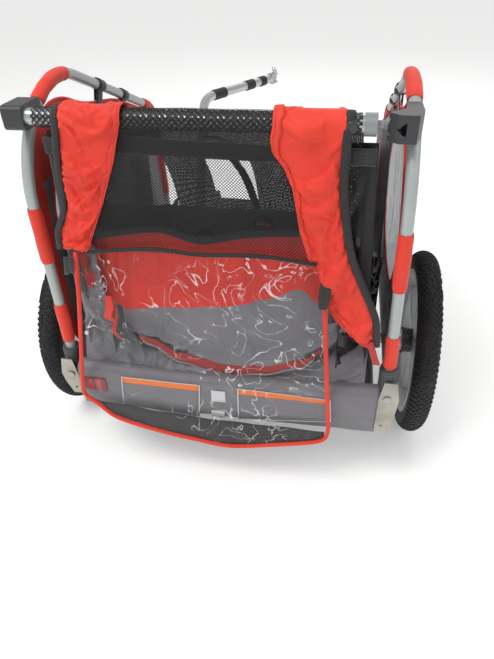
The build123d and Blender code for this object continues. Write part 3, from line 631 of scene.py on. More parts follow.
for side in ("left", "right"):
    outer, outerLength = evenRing(panelOutline(side), panel["around"])
    windowSmooth = [smoothLine([Vector(p) for p in windowShape + windowShape[:1]], i / 120) for i in range(120)]
    inner, _ = evenRing(windowSmooth, panel["around"])
    nearest = min(range(panel["around"]),
                  key=lambda i: sum((inner[(k + i) % panel["around"]] - outer[k]).length
                                    for k in range(0, panel["around"], 8)))
    inner = [inner[(k + nearest) % panel["around"]] for k in range(panel["around"])]

    def place(u, v):
        index = int(round(u * panel["around"])) % panel["around"]
        flat = outer[index].lerp(inner[index], v)
        spot = panelPoint(side, flat.x, flat.y)
        fade = math.sin(math.pi * min(max(v, 0), 1))
        return spot + Vector((1, 0, 0)) * (ripples(spot, 13, 0.006 * fade, 3.0) + 0.004 * fade * sideSign[side])
    bm = clothGrid(panel["around"], panel["rings"], place, (outerLength, 0.1))
    bmesh.ops.remove_doubles(bm, verts=bm.verts, dist=0.0003)
    for face in bm.faces:
        centre = face.calc_center_median()
        ahead, z = centre.y - rearLine, centre.z
        redLine = 0.60 - 0.10 * (ahead - 0.2)
        rearBand = ahead < 0.055 + 0.1 * max(0, 0.45 - z)
        # the red top and the rear band take the red cloth with painted shade
        face.material_index = 1 if z > redLine or rearBand else 0
    cloth = finishPiece(bm, f"sidePanel_{side}", [greyNylon, redNylonPaintedShade], None,
                        replaces=[f"side_panel_{side}"])
    thicken(cloth, 0.0012)
    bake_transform(cloth)

    def placeWindow(u, v):
        index = int(round(u * panel["around"])) % panel["around"]
        middle = Vector((0.27, 0.525))
        flat = inner[index].lerp(middle, 1 - v)
        spot = panelPoint(side, flat.x, flat.y)
        return spot + Vector((1, 0, 0)) * ripples(spot, 16, 0.003 * (1 - v), 8.0)
    bm = clothGrid(panel["around"], 8, placeWindow, (0.5, 0.3))
    bmesh.ops.remove_doubles(bm, verts=bm.verts, dist=0.0003)
    # the side window film is tinted grey: painted shade for the dim inside
    finishPiece(bm, f"sideWindow_{side}", sideVinylPaintedShade, f"{side}_frame")
    ring = [panelPoint(side, p.x, p.y, 0.0012) for p in inner]
    pipeAlong(f"sideWindowPiping_{side}", ring + ring[:1], 0.0022, redNylon, f"{side}_frame", closed=True,
              smoothed=False)
    top = [panelPoint(side, *p) for p in panelOutline(side)[2:63]]
    pipeAlong(f"sidePanelBinding_{side}", top, 0.0026, redNylon, f"{side}_frame", smoothed=False)

    # two webbing loops hold the panel's top edge to the tube
    route, shares, _ = routes[side]
    for number, (ahead, z) in enumerate(strapLoop["places"], 1):
        share = shareNear(side, route, shares, ahead, z)
        centre = alongRoute(route, shares, share)
        way = (alongRoute(route, shares, share + 0.004) - alongRoute(route, shares, share - 0.004)).normalized()
        out = Vector((-way.y, way.x))

        def placeLoop(u, v, centre=centre, way=way, out=out):
            angle = math.radians(-150 + 300 * v)
            lift, inward = math.cos(angle) * strapLoop["radius"], math.sin(angle) * strapLoop["radius"]
            end = strapLoop["end"]
            if v < end or v > 1 - end:
                lift -= strapLoop["tail"] * (end - min(v, 1 - v)) / end
                inward *= strapLoop["pinch"]
            flat = centre + out * lift + way * ((u - 0.5) * strapLoop["width"])
            return onSide(side, flat.x, flat.y, inward)
        loop = finishPiece(clothGrid(4, 40, placeLoop, (strapLoop["width"], 0.14)), f"panelStrap{number}_{side}",
                           blackWebbing, f"{side}_frame")
        thicken(loop, 0.0016)
print("side panels made")

# rear cover: two red wings gathered over the crossbar

wrap = {"radius": 0.0180, "share": 0.80, "turn": math.radians(190)}
drapes = {"hang": 0.013, "gatherFrom": 0.45, "gather": 0.0026, "columns": 58, "rows": 128, "clear": 0.0012}
tape = {"half": 0.0080, "offset": 0.003, "thick": 0.0038}
wings = {
    "left": {
        "hem": [(0.765, -0.110), (0.750, -0.112), (0.674, -0.138), (0.610, -0.166), (0.539, -0.201),
                (0.520, -0.206)],
        "edge": [(0.765, -0.206), (0.708, -0.216), (0.655, -0.224), (0.600, -0.228), (0.575, -0.238),
                 (0.550, -0.252), (0.520, -0.254)],
        "bottom": 0.522, "seed": 2.0},
    "right": {
        "hem": [(0.765, 0.110), (0.749, 0.106), (0.716, 0.099), (0.696, 0.102), (0.672, 0.120), (0.647, 0.131),
                (0.577, 0.145),
                (0.532, 0.159), (0.493, 0.182), (0.450, 0.192), (0.420, 0.208), (0.390, 0.236), (0.368, 0.260)],
        "edge": [(0.765, 0.204), (0.706, 0.197), (0.650, 0.198), (0.612, 0.203), (0.565, 0.212), (0.531, 0.222),
                 (0.496, 0.236),
                 (0.450, 0.260), (0.420, 0.270), (0.368, 0.276)],
        "bottom": 0.370, "seed": 11.0}}


def overBar(x, z, v, share, radius):
    # a sheet that hangs down from the crossbar and wraps over it, as a spot and its outward way
    if v <= share:
        return at(x, barAhead - radius, z), Vector((0, -1, 0))
    angle = wrap["turn"] * (v - share) / (1 - share)
    out = Vector((0, -math.cos(angle), math.sin(angle)))
    return at(x, barAhead, barHeight) + out * radius, out


for side, wing in wings.items():
    columns, rows = drapes["columns"], drapes["rows"]

    def place(u, v, wing=wing, side=side):
        z = wing["bottom"] + (barHeight - wing["bottom"]) * min(v / wrap["share"], 1)
        hem, edge = profileAt(wing["hem"], z), profileAt(wing["edge"], z)
        x = hem + (edge - hem) * u
        puff = math.sin(math.pi * min(max(u, 0), 1)) ** 0.7
        spot, out = overBar(x, z, v, wrap["share"], wrap["radius"])
        drape = drapes["hang"] * puff * (0.65 + 0.35 * math.sin(math.pi * min(v / wrap["share"], 1)))
        gather = max(0.0, (u - drapes["gatherFrom"]) / (1 - drapes["gatherFrom"])) ** 1.3
        wander = noise.noise(Vector((u * 2.2, v * 6, wing["seed"])))
        depth = 0.45 + abs(noise.noise(Vector((v * 9, 3, wing["seed"])))) * 1.6
        folds = math.sin(v * 88 + 9.0 * wander) * drapes["gather"] * gather * depth
        slack = creases(u, v, wing["seed"]) * puff
        return spot + out * (drape + folds + slack)

    bm = clothGrid(columns, rows, place, (0.115, 0.34))
    cloth = finishPiece(bm, f"coverWing_{side}", redNylon, "chassis", replaces=[f"cover_wing_{side}"])
    buckleSheet(cloth, columns, rows, 0.075, frames=20, cap=0.012, gravity=0.25)
    # the cloth stays outside the bar and the mesh under it
    clear = wrap["radius"] + drapes["clear"]
    for vert in cloth.data.vertices:
        offset = Vector((0, vert.co.y - rearLine - barAhead, vert.co.z - barHeight))
        if offset.z < 0:
            vert.co.y = min(vert.co.y, rearLine + barAhead - clear) if offset.y < 0 else vert.co.y
        elif offset.length < clear:
            offset = offset.normalized() * clear
            vert.co.y, vert.co.z = rearLine + barAhead + offset.y, barHeight + offset.z
    edgeLine = [cloth.data.vertices[row * (columns + 1) + columns].co.copy() for row in range(rows + 1)]
    thicken(cloth, 0.0011, 1)

    # the folded hem along the inner edge, with two rows of stitches
    towards = Vector((1 if side == "left" else -1, 0, 0))

    def onCloth(column, v, lift, verts=[vert.co.copy() for vert in cloth.data.vertices]):
        # a point on the wing, lifted off its outer face. column counts in from the hem.
        row, low = min(v, 1) * rows, int(column)
        under = int(min(row, rows - 1))
        corners = [verts[(under + j) * (columns + 1) + low + i] for j in (0, 1) for i in (0, 1)]
        share, up = column - low, row - under
        spot = corners[0].lerp(corners[1], share).lerp(corners[2].lerp(corners[3], share), up)
        angle = wrap["turn"] * max(0, min(v, 1) - wrap["share"]) / (1 - wrap["share"])
        return spot + Vector((0, -math.cos(angle), math.sin(angle))) * lift

    bm = clothGrid(8, 150, lambda u, v: onCloth(u * 7, v, 0.0022) + towards * 0.0012 * (1 - u), (0.012, 0.34))
    hem = finishPiece(bm, f"wingHem_{side}", redNylon, "chassis")
    thicken(hem, 0.0012)
    foldFlat(0.20, 0.45, hem)
    stitches = bmesh.new()
    for column in (1.2, 5.8):
        for number in range(78):
            v = 0.012 + number / 90
            middle, later = onCloth(column, v, 0.0031), onCloth(column, v + 0.006, 0.0031)
            made = bmesh.ops.create_icosphere(stitches, subdivisions=1, radius=0.00085)
            turn = (later - middle).normalized().to_track_quat("Z", "Y").to_matrix().to_4x4()
            place = Matrix.Translation(middle) @ turn @ Matrix.Diagonal((0.7, 0.7, 1.7, 1))
            bmesh.ops.transform(stitches, matrix=place, verts=made["verts"])
    thread = finishPiece(stitches, f"wingStitches_{side}", darkRedHem, "chassis")
    foldFlat(0.20, 0.45, thread)

    # black elastic binding gathers the outer edge
    outward = -towards

    def placeBinding(u, v, line=edgeLine, outward=outward):
        spot = smoothLine(line[::16], v)
        angle = math.radians(-120 + 240 * u)
        across = tape["half"] * math.cos(angle) + tape["offset"]
        return spot + outward * across + Vector((0, math.sin(angle) * tape["thick"], 0))
    binding = finishPiece(clothGrid(8, 150, placeBinding, (0.018, 0.34)), f"wingBinding_{side}", blackNylon,
                          "chassis")
    thicken(binding, 0.0010)
    foldFlat(0.20, 0.45, cloth, binding)
print("cover wings made")

# rear cover: mesh screen over the bar, elastic band, clear window

screenSides = {"left": [(0.765, -0.118), (0.745, -0.120), (0.674, -0.150), (0.610, -0.178), (0.523, -0.215)],
               "right": [(0.765, 0.118), (0.745, 0.120), (0.700, 0.122), (0.647, 0.142), (0.577, 0.158),
                         (0.523, 0.180)]}
screenSet = {"bottom": 0.523, "radius": 0.0158, "sag": 0.004}


def placeScreen(u, v):
    z = screenSet["bottom"] + (barHeight - screenSet["bottom"]) * min(v / wrap["share"], 1)
    left, right = profileAt(screenSides["left"], z), profileAt(screenSides["right"], z)
    x = left + (right - left) * u
    spot, out = overBar(x, z, v, wrap["share"], screenSet["radius"])
    sag = screenSet["sag"] * math.sin(math.pi * u) * math.sin(math.pi * min(v / wrap["share"], 1))
    return spot + out * (sag + ripples(Vector((x, 0, z)), 9, 0.0015, 4))


screen = finishPiece(clothGrid(64, 84, placeScreen, (0.33, 0.30)), "coverScreen", fineMesh, "chassis",
                     replaces=["cover_screen"])

barWrap = {"from": -0.257, "length": 0.478, "radius": 0.0150, "bulge": 0.0006}


def placeBarMesh(u, v):
    angle = 2 * math.pi * u
    radius = barWrap["radius"] + barWrap["bulge"] * noise.noise(Vector((v * 40, math.cos(angle), math.sin(angle))))
    return at(barWrap["from"] + barWrap["length"] * v, barAhead + math.cos(angle) * radius,
              barHeight + math.sin(angle) * radius)


bm = clothGrid(24, 60, placeBarMesh, (0.094, barWrap["length"]))
finishPiece(bm, "crossbarMeshWrap", coarseMesh, "crossbar", replaces=["crossbar_pad"])


elastic = {"from": -0.250, "length": 0.495, "low": 0.679, "width": 0.024, "wave": 0.003, "pucker": 0.0008}


def placeBand(u, v):
    x = elastic["from"] + elastic["length"] * u
    z = elastic["low"] + elastic["width"] * v + elastic["wave"] * math.sin(u * 5)
    return at(x, 0.004 + elastic["wave"] * math.sin(u * 9) + elastic["pucker"] * math.sin(u * 420), z)


band = finishPiece(clothGrid(180, 4, placeBand, (0.47, 0.024)), "coverElasticBand", blackWebbing, "chassis",
                   replaces=["cover_band"])
thicken(band, 0.0016)

windowEdge = [(-0.231, 0.518), (-0.236, 0.480), (-0.241, 0.434), (-0.258, 0.325), (-0.275, 0.217),
              (-0.266, 0.196), (-0.246, 0.178), (-0.212, 0.147),
              (-0.129, 0.122), (-0.050, 0.108), (0.019, 0.100), (0.100, 0.116), (0.182, 0.137), (0.206, 0.150),
              (0.212, 0.170), (0.211, 0.200),
              (0.204, 0.280), (0.196, 0.370), (0.190, 0.440), (0.183, 0.499), (0.170, 0.524), (0.080, 0.529),
              (-0.016, 0.532), (-0.100, 0.530), (-0.200, 0.522)]
windowDepth = {"top": -0.010, "belly": -0.028, "crumple": 0.0038, "fine": 0.0018}


def windowAhead(z):
    down = min(max((0.53 - z) / 0.40, 0), 1)
    return windowDepth["top"] + (windowDepth["belly"] - windowDepth["top"]) * math.sin(math.pi * 0.5 * down)


def placeWindow(u, v):
    edge = windowRing[int(round(u * 160)) % 160]
    middle = Vector((-0.02, 0.32))
    flat = middle.lerp(edge, v)
    x, z = flat
    crumple = ripples(Vector((x, 0, z)), 16, windowDepth["crumple"], 21)
    crumple += ripples(Vector((z, 0, x * 1.4)), 34, windowDepth["fine"], 3)
    return at(x, windowAhead(z) - crumple * min(1, (1 - v) * 6), z)


windowRing, _ = evenRing([tuple(smoothLine([Vector(p) for p in windowEdge + windowEdge[:1]], i / 200))
    for i in range(200)], 160)
bm = clothGrid(160, 70, placeWindow, (1.5, 0.25))
bmesh.ops.remove_doubles(bm, verts=bm.verts, dist=0.0004)
film = finishPiece(bm, "coverWindow", clearVinyl, "chassis", replaces=["cover_window"])

stripTable = [(-0.262, 0.186), (-0.240, 0.186), (-0.140, 0.176), (0.000, 0.167), (0.110, 0.167), (0.206, 0.166)]


def placeStrip(u, v):
    x = stripTable[0][0] + (stripTable[-1][0] - stripTable[0][0]) * u
    top = stripTable[-1][1]
    for (nearX, nearZ), (farX, farZ) in zip(stripTable, stripTable[1:]):
        if x <= farX:
            top = nearZ + (farZ - nearZ) * (x - nearX) / (farX - nearX)
            break
    low = min((edge.y for edge in windowRing if abs(edge.x - x) < 0.006 and edge.y < 0.25), default=0.14)
    z = low + (max(top, low + 0.004) - low) * v
    return at(x, windowAhead(z) + 0.0035 + 0.001 * math.sin(x * 60), z)


strip = finishPiece(clothGrid(110, 10, placeStrip, (0.468, 0.05)), "coverHemStrip", blackNylon, "chassis")
thicken(strip, 0.0010)
pipeLine = [at(p.x, windowAhead(p.y) - 0.0005, p.y) for p in windowRing]
start = max(range(160), key=lambda i: -windowRing[i].x * 0.1 + windowRing[i].y if windowRing[i].x < -0.2 else -1)
ordered = pipeLine[start:] + pipeLine[:start]
if ordered[20].z > 0.50:
    ordered = ordered[:1] + ordered[:0:-1]
downTo = [p for p in ordered if not (p.z > 0.517 and -0.225 < p.x < 0.175)]
piping = pipeAlong("coverWindowPiping", downTo, 0.0042, redNylon, "chassis", smoothed=False)
seam = pipeAlong("coverSeam",
                 [at(-0.212, -0.012, 0.520), at(-0.099, -0.013, 0.534), at(-0.016, -0.013, 0.529),
                  at(0.080, -0.013, 0.533), at(0.172, -0.012, 0.524)],
                 0.0036, bindingNylon, "chassis")
tabs = []
for number, (x, z, length) in enumerate(((-0.247, 0.512, 0.034), (-0.238, 0.512, 0.030)), 1):
    tab = ribbonAlong(f"coverTab{number}",
                      [at(x, -0.018, z), at(x - 0.002, -0.020, z - length * 0.5),
                       at(x - 0.006, -0.018, z - length)], 0.008, 0.0018,
                         blackWebbing, "chassis", segments=10)
    tabs.append(tab)
loopTab = ribbonAlong("coverPullLoop",
                      [at(0.186, -0.012, 0.500), at(0.183, -0.024, 0.475), at(0.186, -0.030, 0.452),
                       at(0.192, -0.026, 0.470), at(0.192, -0.014, 0.498)],
                         0.010, 0.0016, blackWebbing, "chassis", segments=24)
foldFlat(0.20, 0.45, screen, band, seam, loopTab, *tabs)
foldFlat(0.12, 0.45, film, strip, piping)
print("rear cover made")

# painted shade: near-closed dark mesh sheets just inside the side panels, behind the side windows, so the inside
# reads dim through them
paintedShadeSheetSet = {"from": 0.045, "length": 0.46, "top": 0.700, "fall": 0.30, "bottom": 0.335, "x": 0.283, "bow": 0.006}
for side, sign in sideSign.items():
    def placePaintedShadeSheet(u, v, sign=sign):
        ahead = paintedShadeSheetSet["from"] + paintedShadeSheetSet["length"] * u
        top = paintedShadeSheetSet["top"] - paintedShadeSheetSet["fall"] * max(0, ahead - 0.16)
        z = paintedShadeSheetSet["bottom"] + (top - paintedShadeSheetSet["bottom"]) * v
        x = paintedShadeSheetSet["x"] - math.tan(loopShape["lean"]) * (z - 0.25) - paintedShadeSheetSet["bow"] * math.sin(math.pi * u)
        return at(sign * x, ahead, z)
    shade = finishPiece(clothGrid(60, 44, placePaintedShadeSheet, (0.46, 0.34)), f"paintedShadeSheet_{side}", doubleMesh, "chassis")
    foldFlat(0.21, 0.4, shade)

# front cover: dark mesh from the bar down to the front rail

frontLine = [Vector((0.036, 0.712)), Vector((0.20, 0.645)), Vector((0.38, 0.575)), Vector((0.50, 0.520)),
             Vector((0.60, 0.43)), Vector((0.680, 0.30)), Vector((0.706, 0.215))]


frontSet = {"half": 0.225, "flare": 0.045, "sag": 0.012, "openX": (-0.135, -0.025), "openAhead": (0.48, 0.655)}


def placeFront(u, v):
    flat = smoothLine(frontLine, v)
    x = (u - 0.5) * 2 * (frontSet["half"] + frontSet["flare"] * v)
    sag = frontSet["sag"] * (1 - (2 * u - 1) ** 2) * math.sin(math.pi * v)
    return at(x, flat.x, flat.y - sag) + Vector((0, 0, ripples(Vector((x, flat.x, 0)), 11, 0.002, 6)))


bm = clothGrid(44, 60, placeFront, (0.50, 0.95))
opening = []
for face in bm.faces:
    centre = face.calc_center_median()
    lowX, highX = frontSet["openX"]
    near, far = frontSet["openAhead"]
    if lowX < centre.x < highX and near < centre.y - rearLine < far:
        opening.append(face)
bmesh.ops.delete(bm, geom=opening, context="FACES")
front = finishPiece(bm, "frontCover", doubleMesh, "chassis")
foldFlat(0.21, 0.35, front)
for number, x in enumerate((-0.12, 0.0), 1):
    line = [at(x, p.x, p.y - 0.010) for p in frontLine]
    strap = ribbonAlong(f"frontCoverStrap{number}",
                        [p + Vector((0.11 * i / 6, 0, 0)) for i, p in enumerate(line)], 0.022, 0.0014,
                        blackWebbing, "chassis")
    foldFlat(0.21, 0.35, strap)
print("front cover made")

# tub: floor, low walls, rear wall with blank labels

tub = {"halfWidth": 0.279, "rear": -0.010, "front": 0.706, "floor": 0.168, "rail": 0.203}


def placeFloor(u, v):
    x = (2 * u - 1) * tub["halfWidth"]
    ahead = tub["rear"] + (tub["front"] - tub["rear"]) * v
    edge = min(1, min(u, 1 - u) * 12, min(v, 1 - v) * 16)
    edge = edge * edge * (3 - 2 * edge)
    z = tub["rail"] + (tub["floor"] - tub["rail"]) * edge
    return at(x, ahead, z + ripples(Vector((x, ahead, 0)), 12, 0.0022 * edge, 2))


floorCloth = finishPiece(clothGrid(72, 90, placeFloor, (0.57, 0.73)), "tubFloor", darkGreyNylon, "chassis",
    replaces=["floor_tub"])
thicken(floorCloth, 0.0015)


wallSet = {"from": -0.286, "length": 0.586, "low": 0.166, "height": 0.104, "dip": 0.010, "ahead": -0.0100,
           "belly": 0.002, "rollFrom": 0.86, "roll": 0.020, "ripple": 0.0012}


def placeRearWall(u, v):
    x = wallSet["from"] + wallSet["length"] * u
    z = wallSet["low"] + wallSet["height"] * v - wallSet["dip"] * math.sin(math.pi * u) * v
    over = max(0, (v - wallSet["rollFrom"]) / (1 - wallSet["rollFrom"]))
    ahead = wallSet["ahead"] - wallSet["belly"] * math.sin(v * 3) + over * over * wallSet["roll"]
    return at(x, ahead + ripples(Vector((x, 0, z * 2)), 14, wallSet["ripple"], 5), z)


rearWall = finishPiece(clothGrid(120, 26, placeRearWall, (0.586, 0.104)), "rearWall", greyNylon, "chassis",
                       replaces=["rear_panel"])
thicken(rearWall, 0.0016)


def wallDepth(x, z):
    belly = wallSet["belly"] * math.sin((z - wallSet["low"]) / wallSet["height"] * 3)
    return wallSet["ahead"] - 0.0004 - belly + ripples(Vector((x, 0, z * 2)), 14, wallSet["ripple"], 5)


labels = {"lift": 0.0015,
          "large": [((-0.204, 0.168), (-0.044, 0.157), (-0.037, 0.245), (-0.196, 0.248)),
                    ((0.035, 0.163), (0.217, 0.182), (0.213, 0.240), (0.036, 0.247))],
          "small": [((-0.016, 0.206), (0.012, 0.206), (0.012, 0.235), (-0.016, 0.235)),
                    ((-0.019, 0.162), (0.008, 0.162), (0.008, 0.180), (-0.019, 0.180))]}


def labelPatch(bm, corners, low, high, left, right, index, lift):
    a, b, c, d = (Vector(p) for p in corners)
    grid = bmesh.ops.create_grid(bm, x_segments=14, y_segments=4, size=0.5)
    for vert in grid["verts"]:
        u = left + (right - left) * (vert.co.x + 0.5)
        v = low + (high - low) * (vert.co.y + 0.5)
        flat = a.lerp(b, u).lerp(d.lerp(c, u), v)
        vert.co = at(flat.x, wallDepth(flat.x, flat.y) - lift, flat.y)
    for face in {face for vert in grid["verts"] for face in vert.link_faces}:
        face.material_index = index


bm = bmesh.new()
for corners in labels["large"]:
    labelPatch(bm, corners, 0, 1, 0, 1, 1, labels["lift"])
    labelPatch(bm, corners, 0, 1, 0, 0.012, 0, labels["lift"] + 0.0003)
    labelPatch(bm, corners, 0, 1, 0.988, 1, 0, labels["lift"] + 0.0003)
    labelPatch(bm, corners, 0, 0.02, 0, 1, 0, labels["lift"] + 0.0003)
    labelPatch(bm, corners, 0.98, 1, 0, 1, 0, labels["lift"] + 0.0003)
    labelPatch(bm, corners, 0.82, 0.98, 0.012, 0.988, 2, labels["lift"] + 0.0003)
for corners in labels["small"]:
    labelPatch(bm, corners, 0, 1, 0, 1, 0, labels["lift"])
blank = finishPiece(bm, "rearLabelBlanks", [labelWhite, labelGrey, labelOrange], "chassis")
thicken(blank, 0.0004)


slack = {"half": 0.272, "heap": 0.0935, "heapFrom": 0.55, "ahead": 0.004, "depth": 0.050, "low": 0.258,
         "rise": 0.024, "bow": 0.012}


def placeShelf(u, v):
    # slack grey cloth between the rear wall and the pocket, heaped up at the sides
    x = (2 * u - 1) * slack["half"]
    rise = slack["heap"] * max(0, abs(2 * u - 1) - slack["heapFrom"]) / (1 - slack["heapFrom"])
    ahead = slack["ahead"] + slack["depth"] * v
    z = slack["low"] + (slack["rise"] + rise) * v + slack["bow"] * math.sin(math.pi * v)
    lift = ripples(Vector((x * 1.4, ahead, z)), 20, 0.007 * math.sin(math.pi * min(v + 0.1, 1)), 1)
    return at(x, ahead + ripples(Vector((x, z, 0)), 15, 0.005, 12), z + lift)


shelf = finishPiece(clothGrid(96, 30, placeShelf, (0.56, 0.12)), "tubRearCloth", greyNylon, "chassis")
buckleSheet(shelf, 96, 30, 0.10, frames=16, cap=0.012)
thicken(shelf, 0.0012, 1)
foldFlat(0.20, 0.45, shelf)

sideWall = {"from": 0.02, "length": 0.65, "low": 0.200, "height": 0.135, "half": 0.272, "lean": 0.010,
            "ripple": 0.005}
cornerCloth = {"from": 0.215, "width": 0.062, "low": 0.262, "height": 0.245, "ahead": 0.026, "turn": 0.030,
               "ripple": 0.007}
for side, sign in sideSign.items():
    def placeWall(u, v, sign=sign):
        ahead = sideWall["from"] + sideWall["length"] * u
        z = sideWall["low"] + sideWall["height"] * v
        wave = ripples(Vector((0, ahead, z)), 13, sideWall["ripple"] * math.sin(math.pi * v), 7 + sign)
        return at(sign * (sideWall["half"] - sideWall["lean"] * v) + wave, ahead, z)
    wall = finishPiece(clothGrid(80, 20, placeWall, (0.65, 0.135)), f"tubSide_{side}", greyNylon, "chassis")
    thicken(wall, 0.0012)
    foldFlat(0.205, 0.4, wall)

    # slack cloth in the rear corner, between the window and the side frame
    def placeCorner(u, v, sign=sign):
        x = sign * (cornerCloth["from"] + cornerCloth["width"] * u)
        z = cornerCloth["low"] + cornerCloth["height"] * v
        spot = at(x, cornerCloth["ahead"] + cornerCloth["turn"] * math.sin(math.pi * u * 0.5), z)
        return spot + Vector((0.3, 1, 0)) * ripples(Vector((x * 1.8, 0, z)), 17, cornerCloth["ripple"],
            14 + 3 * sign)
    corner = finishPiece(clothGrid(26, 70, placeCorner, (0.08, 0.25)), f"rearCornerCloth_{side}",
                         greyNylon if side == "left" else blackGloss, "chassis")
    buckleSheet(corner, 26, 70, 0.09, frames=14, cap=0.010)
    thicken(corner, 0.0012)
    foldFlat(0.21, 0.4, corner)
print("tub made")

# seat: quilted sling, harness, storage pocket

seatLine = [Vector((0.108, 0.556)), Vector((0.140, 0.450)), Vector((0.185, 0.310)), Vector((0.222, 0.256)),
            Vector((0.300, 0.254)), Vector((0.400, 0.262)), Vector((0.498, 0.266))]
seat = {"half": 0.250, "thick": 0.012, "channels": (-0.125, 0.0, 0.125), "seam": 0.004, "fill": 0.45}


def seatSpot(u, v, lift=0.0):
    flat = smoothLine(seatLine, v)
    way = (smoothLine(seatLine, min(v + 0.01, 1)) - smoothLine(seatLine, max(v - 0.01, 0))).normalized()
    normal = Vector((way.y, -way.x)) * -1
    side = 2 * u - 1
    drop = 0.012 * math.sin(math.pi * v) * (1 - side * side)
    flat = flat + normal * (lift - drop)
    return at(side * seat["half"], flat.x, flat.y)


def seatFacing(v):
    way = (smoothLine(seatLine, min(v + 0.01, 1)) - smoothLine(seatLine, max(v - 0.01, 0))).normalized()
    return Vector((0, -way.y, way.x))


def padCrown(u, v):
    side = 2 * u - 1
    seams = [abs(side * seat["half"] - c) / 0.018 for c in seat["channels"]]
    dip = min(1, min(seams)) if seams else 1
    rim = min(1, min(u, 1 - u) * 10, min(v, 1 - v) * 10)
    return (0.35 + 0.65 * math.sin(dip * math.pi / 2)) * math.sin(rim * math.pi / 2)


bm = clothGrid(84, 96, lambda u, v: seatSpot(u, v, 0.5 * seat["thick"] * padCrown(u, v) + 0.001), (0.5, 0.62))
lower = clothGrid(84, 96, lambda u, v: seatSpot(u, v, -0.5 * seat["thick"] * padCrown(u, v) - 0.001), (0.5, 0.62))
bmesh.ops.reverse_faces(lower, faces=lower.faces)
spare = bpy.data.meshes.new("lower")
lower.to_mesh(spare)
lower.free()
bm.from_mesh(spare)
bpy.data.meshes.remove(spare)
rims = [edge for edge in bm.edges if edge.is_boundary]
bmesh.ops.bridge_loops(bm, edges=rims)
bmesh.ops.recalc_face_normals(bm, faces=bm.faces)
cushion = finishPiece(bm, "seatSling", darkGreyNylon, "chassis", replaces=["seat_sling"])
seatSpots = [vert.co.copy() for vert in cushion.data.vertices]


def onSeatSeam(index):
    x = seatSpots[index].x
    return min(abs(x - c) for c in seat["channels"]) < seat["seam"] or abs(x) > seat["half"] - seat["seam"]


settleCloth(cushion, onSeatSeam, frames=16, cap=0.007, gravity=0, use_pressure=True, uniform_pressure_force=3.0,
            shrink_min=-0.05, tension_stiffness=12, compression_stiffness=12)
foldFlat(0.24, 0.35, cushion)

harness = {"xs": (-0.18, -0.075, 0.075, 0.18), "width": 0.028, "lift": 0.013}
bits = []
for number, x in enumerate(harness["xs"], 1):
    u = x / seat["half"] / 2 + 0.5
    line = [seatSpot(u, v / 14, harness["lift"] + (0.004 if v % 2 else 0)) for v in range(1, 12)]
    strap = ribbonAlong(f"harnessStrap{number}", line, harness["width"], 0.0016, blackWebbing, "chassis")
    bits.append(strap)
    bm = bmesh.new()
    bmesh.ops.create_cube(bm, size=1, matrix=Matrix.Diagonal((0.040, 0.052, 0.012, 1)))
    bmesh.ops.bevel(bm, geom=bm.edges[:], offset=0.004, segments=3, profile=0.5, affect="EDGES", material=-1)
    top = [face for face in bm.faces if face.normal.z > 0.9 and face.calc_area() > 0.0005]
    bmesh.ops.inset_region(bm, faces=top, thickness=0.006, depth=-0.0018)
    v = 0.52
    spot, facing = seatSpot(u, v, harness["lift"] + 0.007), seatFacing(v)
    turn = facing.to_track_quat("Z", "Y").to_matrix().to_4x4()
    bmesh.ops.transform(bm, matrix=Matrix.Translation(spot) @ turn, verts=bm.verts)
    buckle = finishPiece(bm, f"harnessBuckle{number}", blackPlastic, "chassis", smooth=False)
    bits.append(buckle)
    if number == 1:
        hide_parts("seat_harness")

# strap guides on the seat back: black discs with a short red bar tack
discs = {"radius": 0.020, "places": ((-0.162, 0.499), (-0.032, 0.503), (0.073, 0.534))}
for number, (x, z) in enumerate(discs["places"], 1):
    bm = bmesh.new()
    bmesh.ops.create_circle(bm, cap_ends=True, segments=40, radius=discs["radius"])
    bmesh.ops.inset_region(bm, faces=bm.faces[:], thickness=0.003, depth=0.0012)
    bmesh.ops.inset_region(bm, faces=[face for face in bm.faces if len(face.verts) > 4], thickness=0.002,
                           depth=-0.0008)
    turn = Matrix.Rotation(math.radians(83), 4, "X")
    bmesh.ops.transform(bm, matrix=Matrix.Translation(at(x, 0.094, z)) @ turn, verts=bm.verts)
    disc = finishPiece(bm, f"strapGuide{number}", blackNylon, "chassis", smooth=False)
    tack = ribbonAlong(f"strapGuideTack{number}",
                       [at(x - 0.013, 0.0915, z + 0.005), at(x, 0.0910, z + 0.004),
                        at(x + 0.013, 0.0915, z + 0.002)], 0.005, 0.0012,
                          redWebbing, "chassis", across=Vector((0, 0, 1)), segments=10)
    bits += [disc, tack]
foldFlat(0.24, 0.35, *bits)
print("seat made")

pocketTop = [(-0.272, 0.498), (-0.245, 0.510), (-0.150, 0.532), (-0.103, 0.538), (-0.020, 0.520), (0.040, 0.535),
             (0.157, 0.548), (0.235, 0.530)]
pocketMid = [(-0.272, 0.463), (-0.240, 0.425), (-0.179, 0.386), (-0.090, 0.392), (0.007, 0.404), (0.080, 0.424),
             (0.143, 0.447), (0.179, 0.419), (0.235, 0.400)]
pocketLow = [(-0.272, 0.360), (-0.200, 0.345), (-0.135, 0.318), (-0.076, 0.288), (0.001, 0.272), (0.078, 0.279),
             (0.153, 0.296), (0.196, 0.331), (0.235, 0.372)]

pocketSet = {"from": -0.262, "length": 0.490, "belly": 0.030, "ahead": 0.056}


def rowAt(table, x):
    for (ax, az), (bx, bz) in zip(table, table[1:]):
        if x <= bx:
            t = (x - ax) / (bx - ax)
            t = t * t * (3 - 2 * t)
            return az + (bz - az) * t
    return table[-1][1]


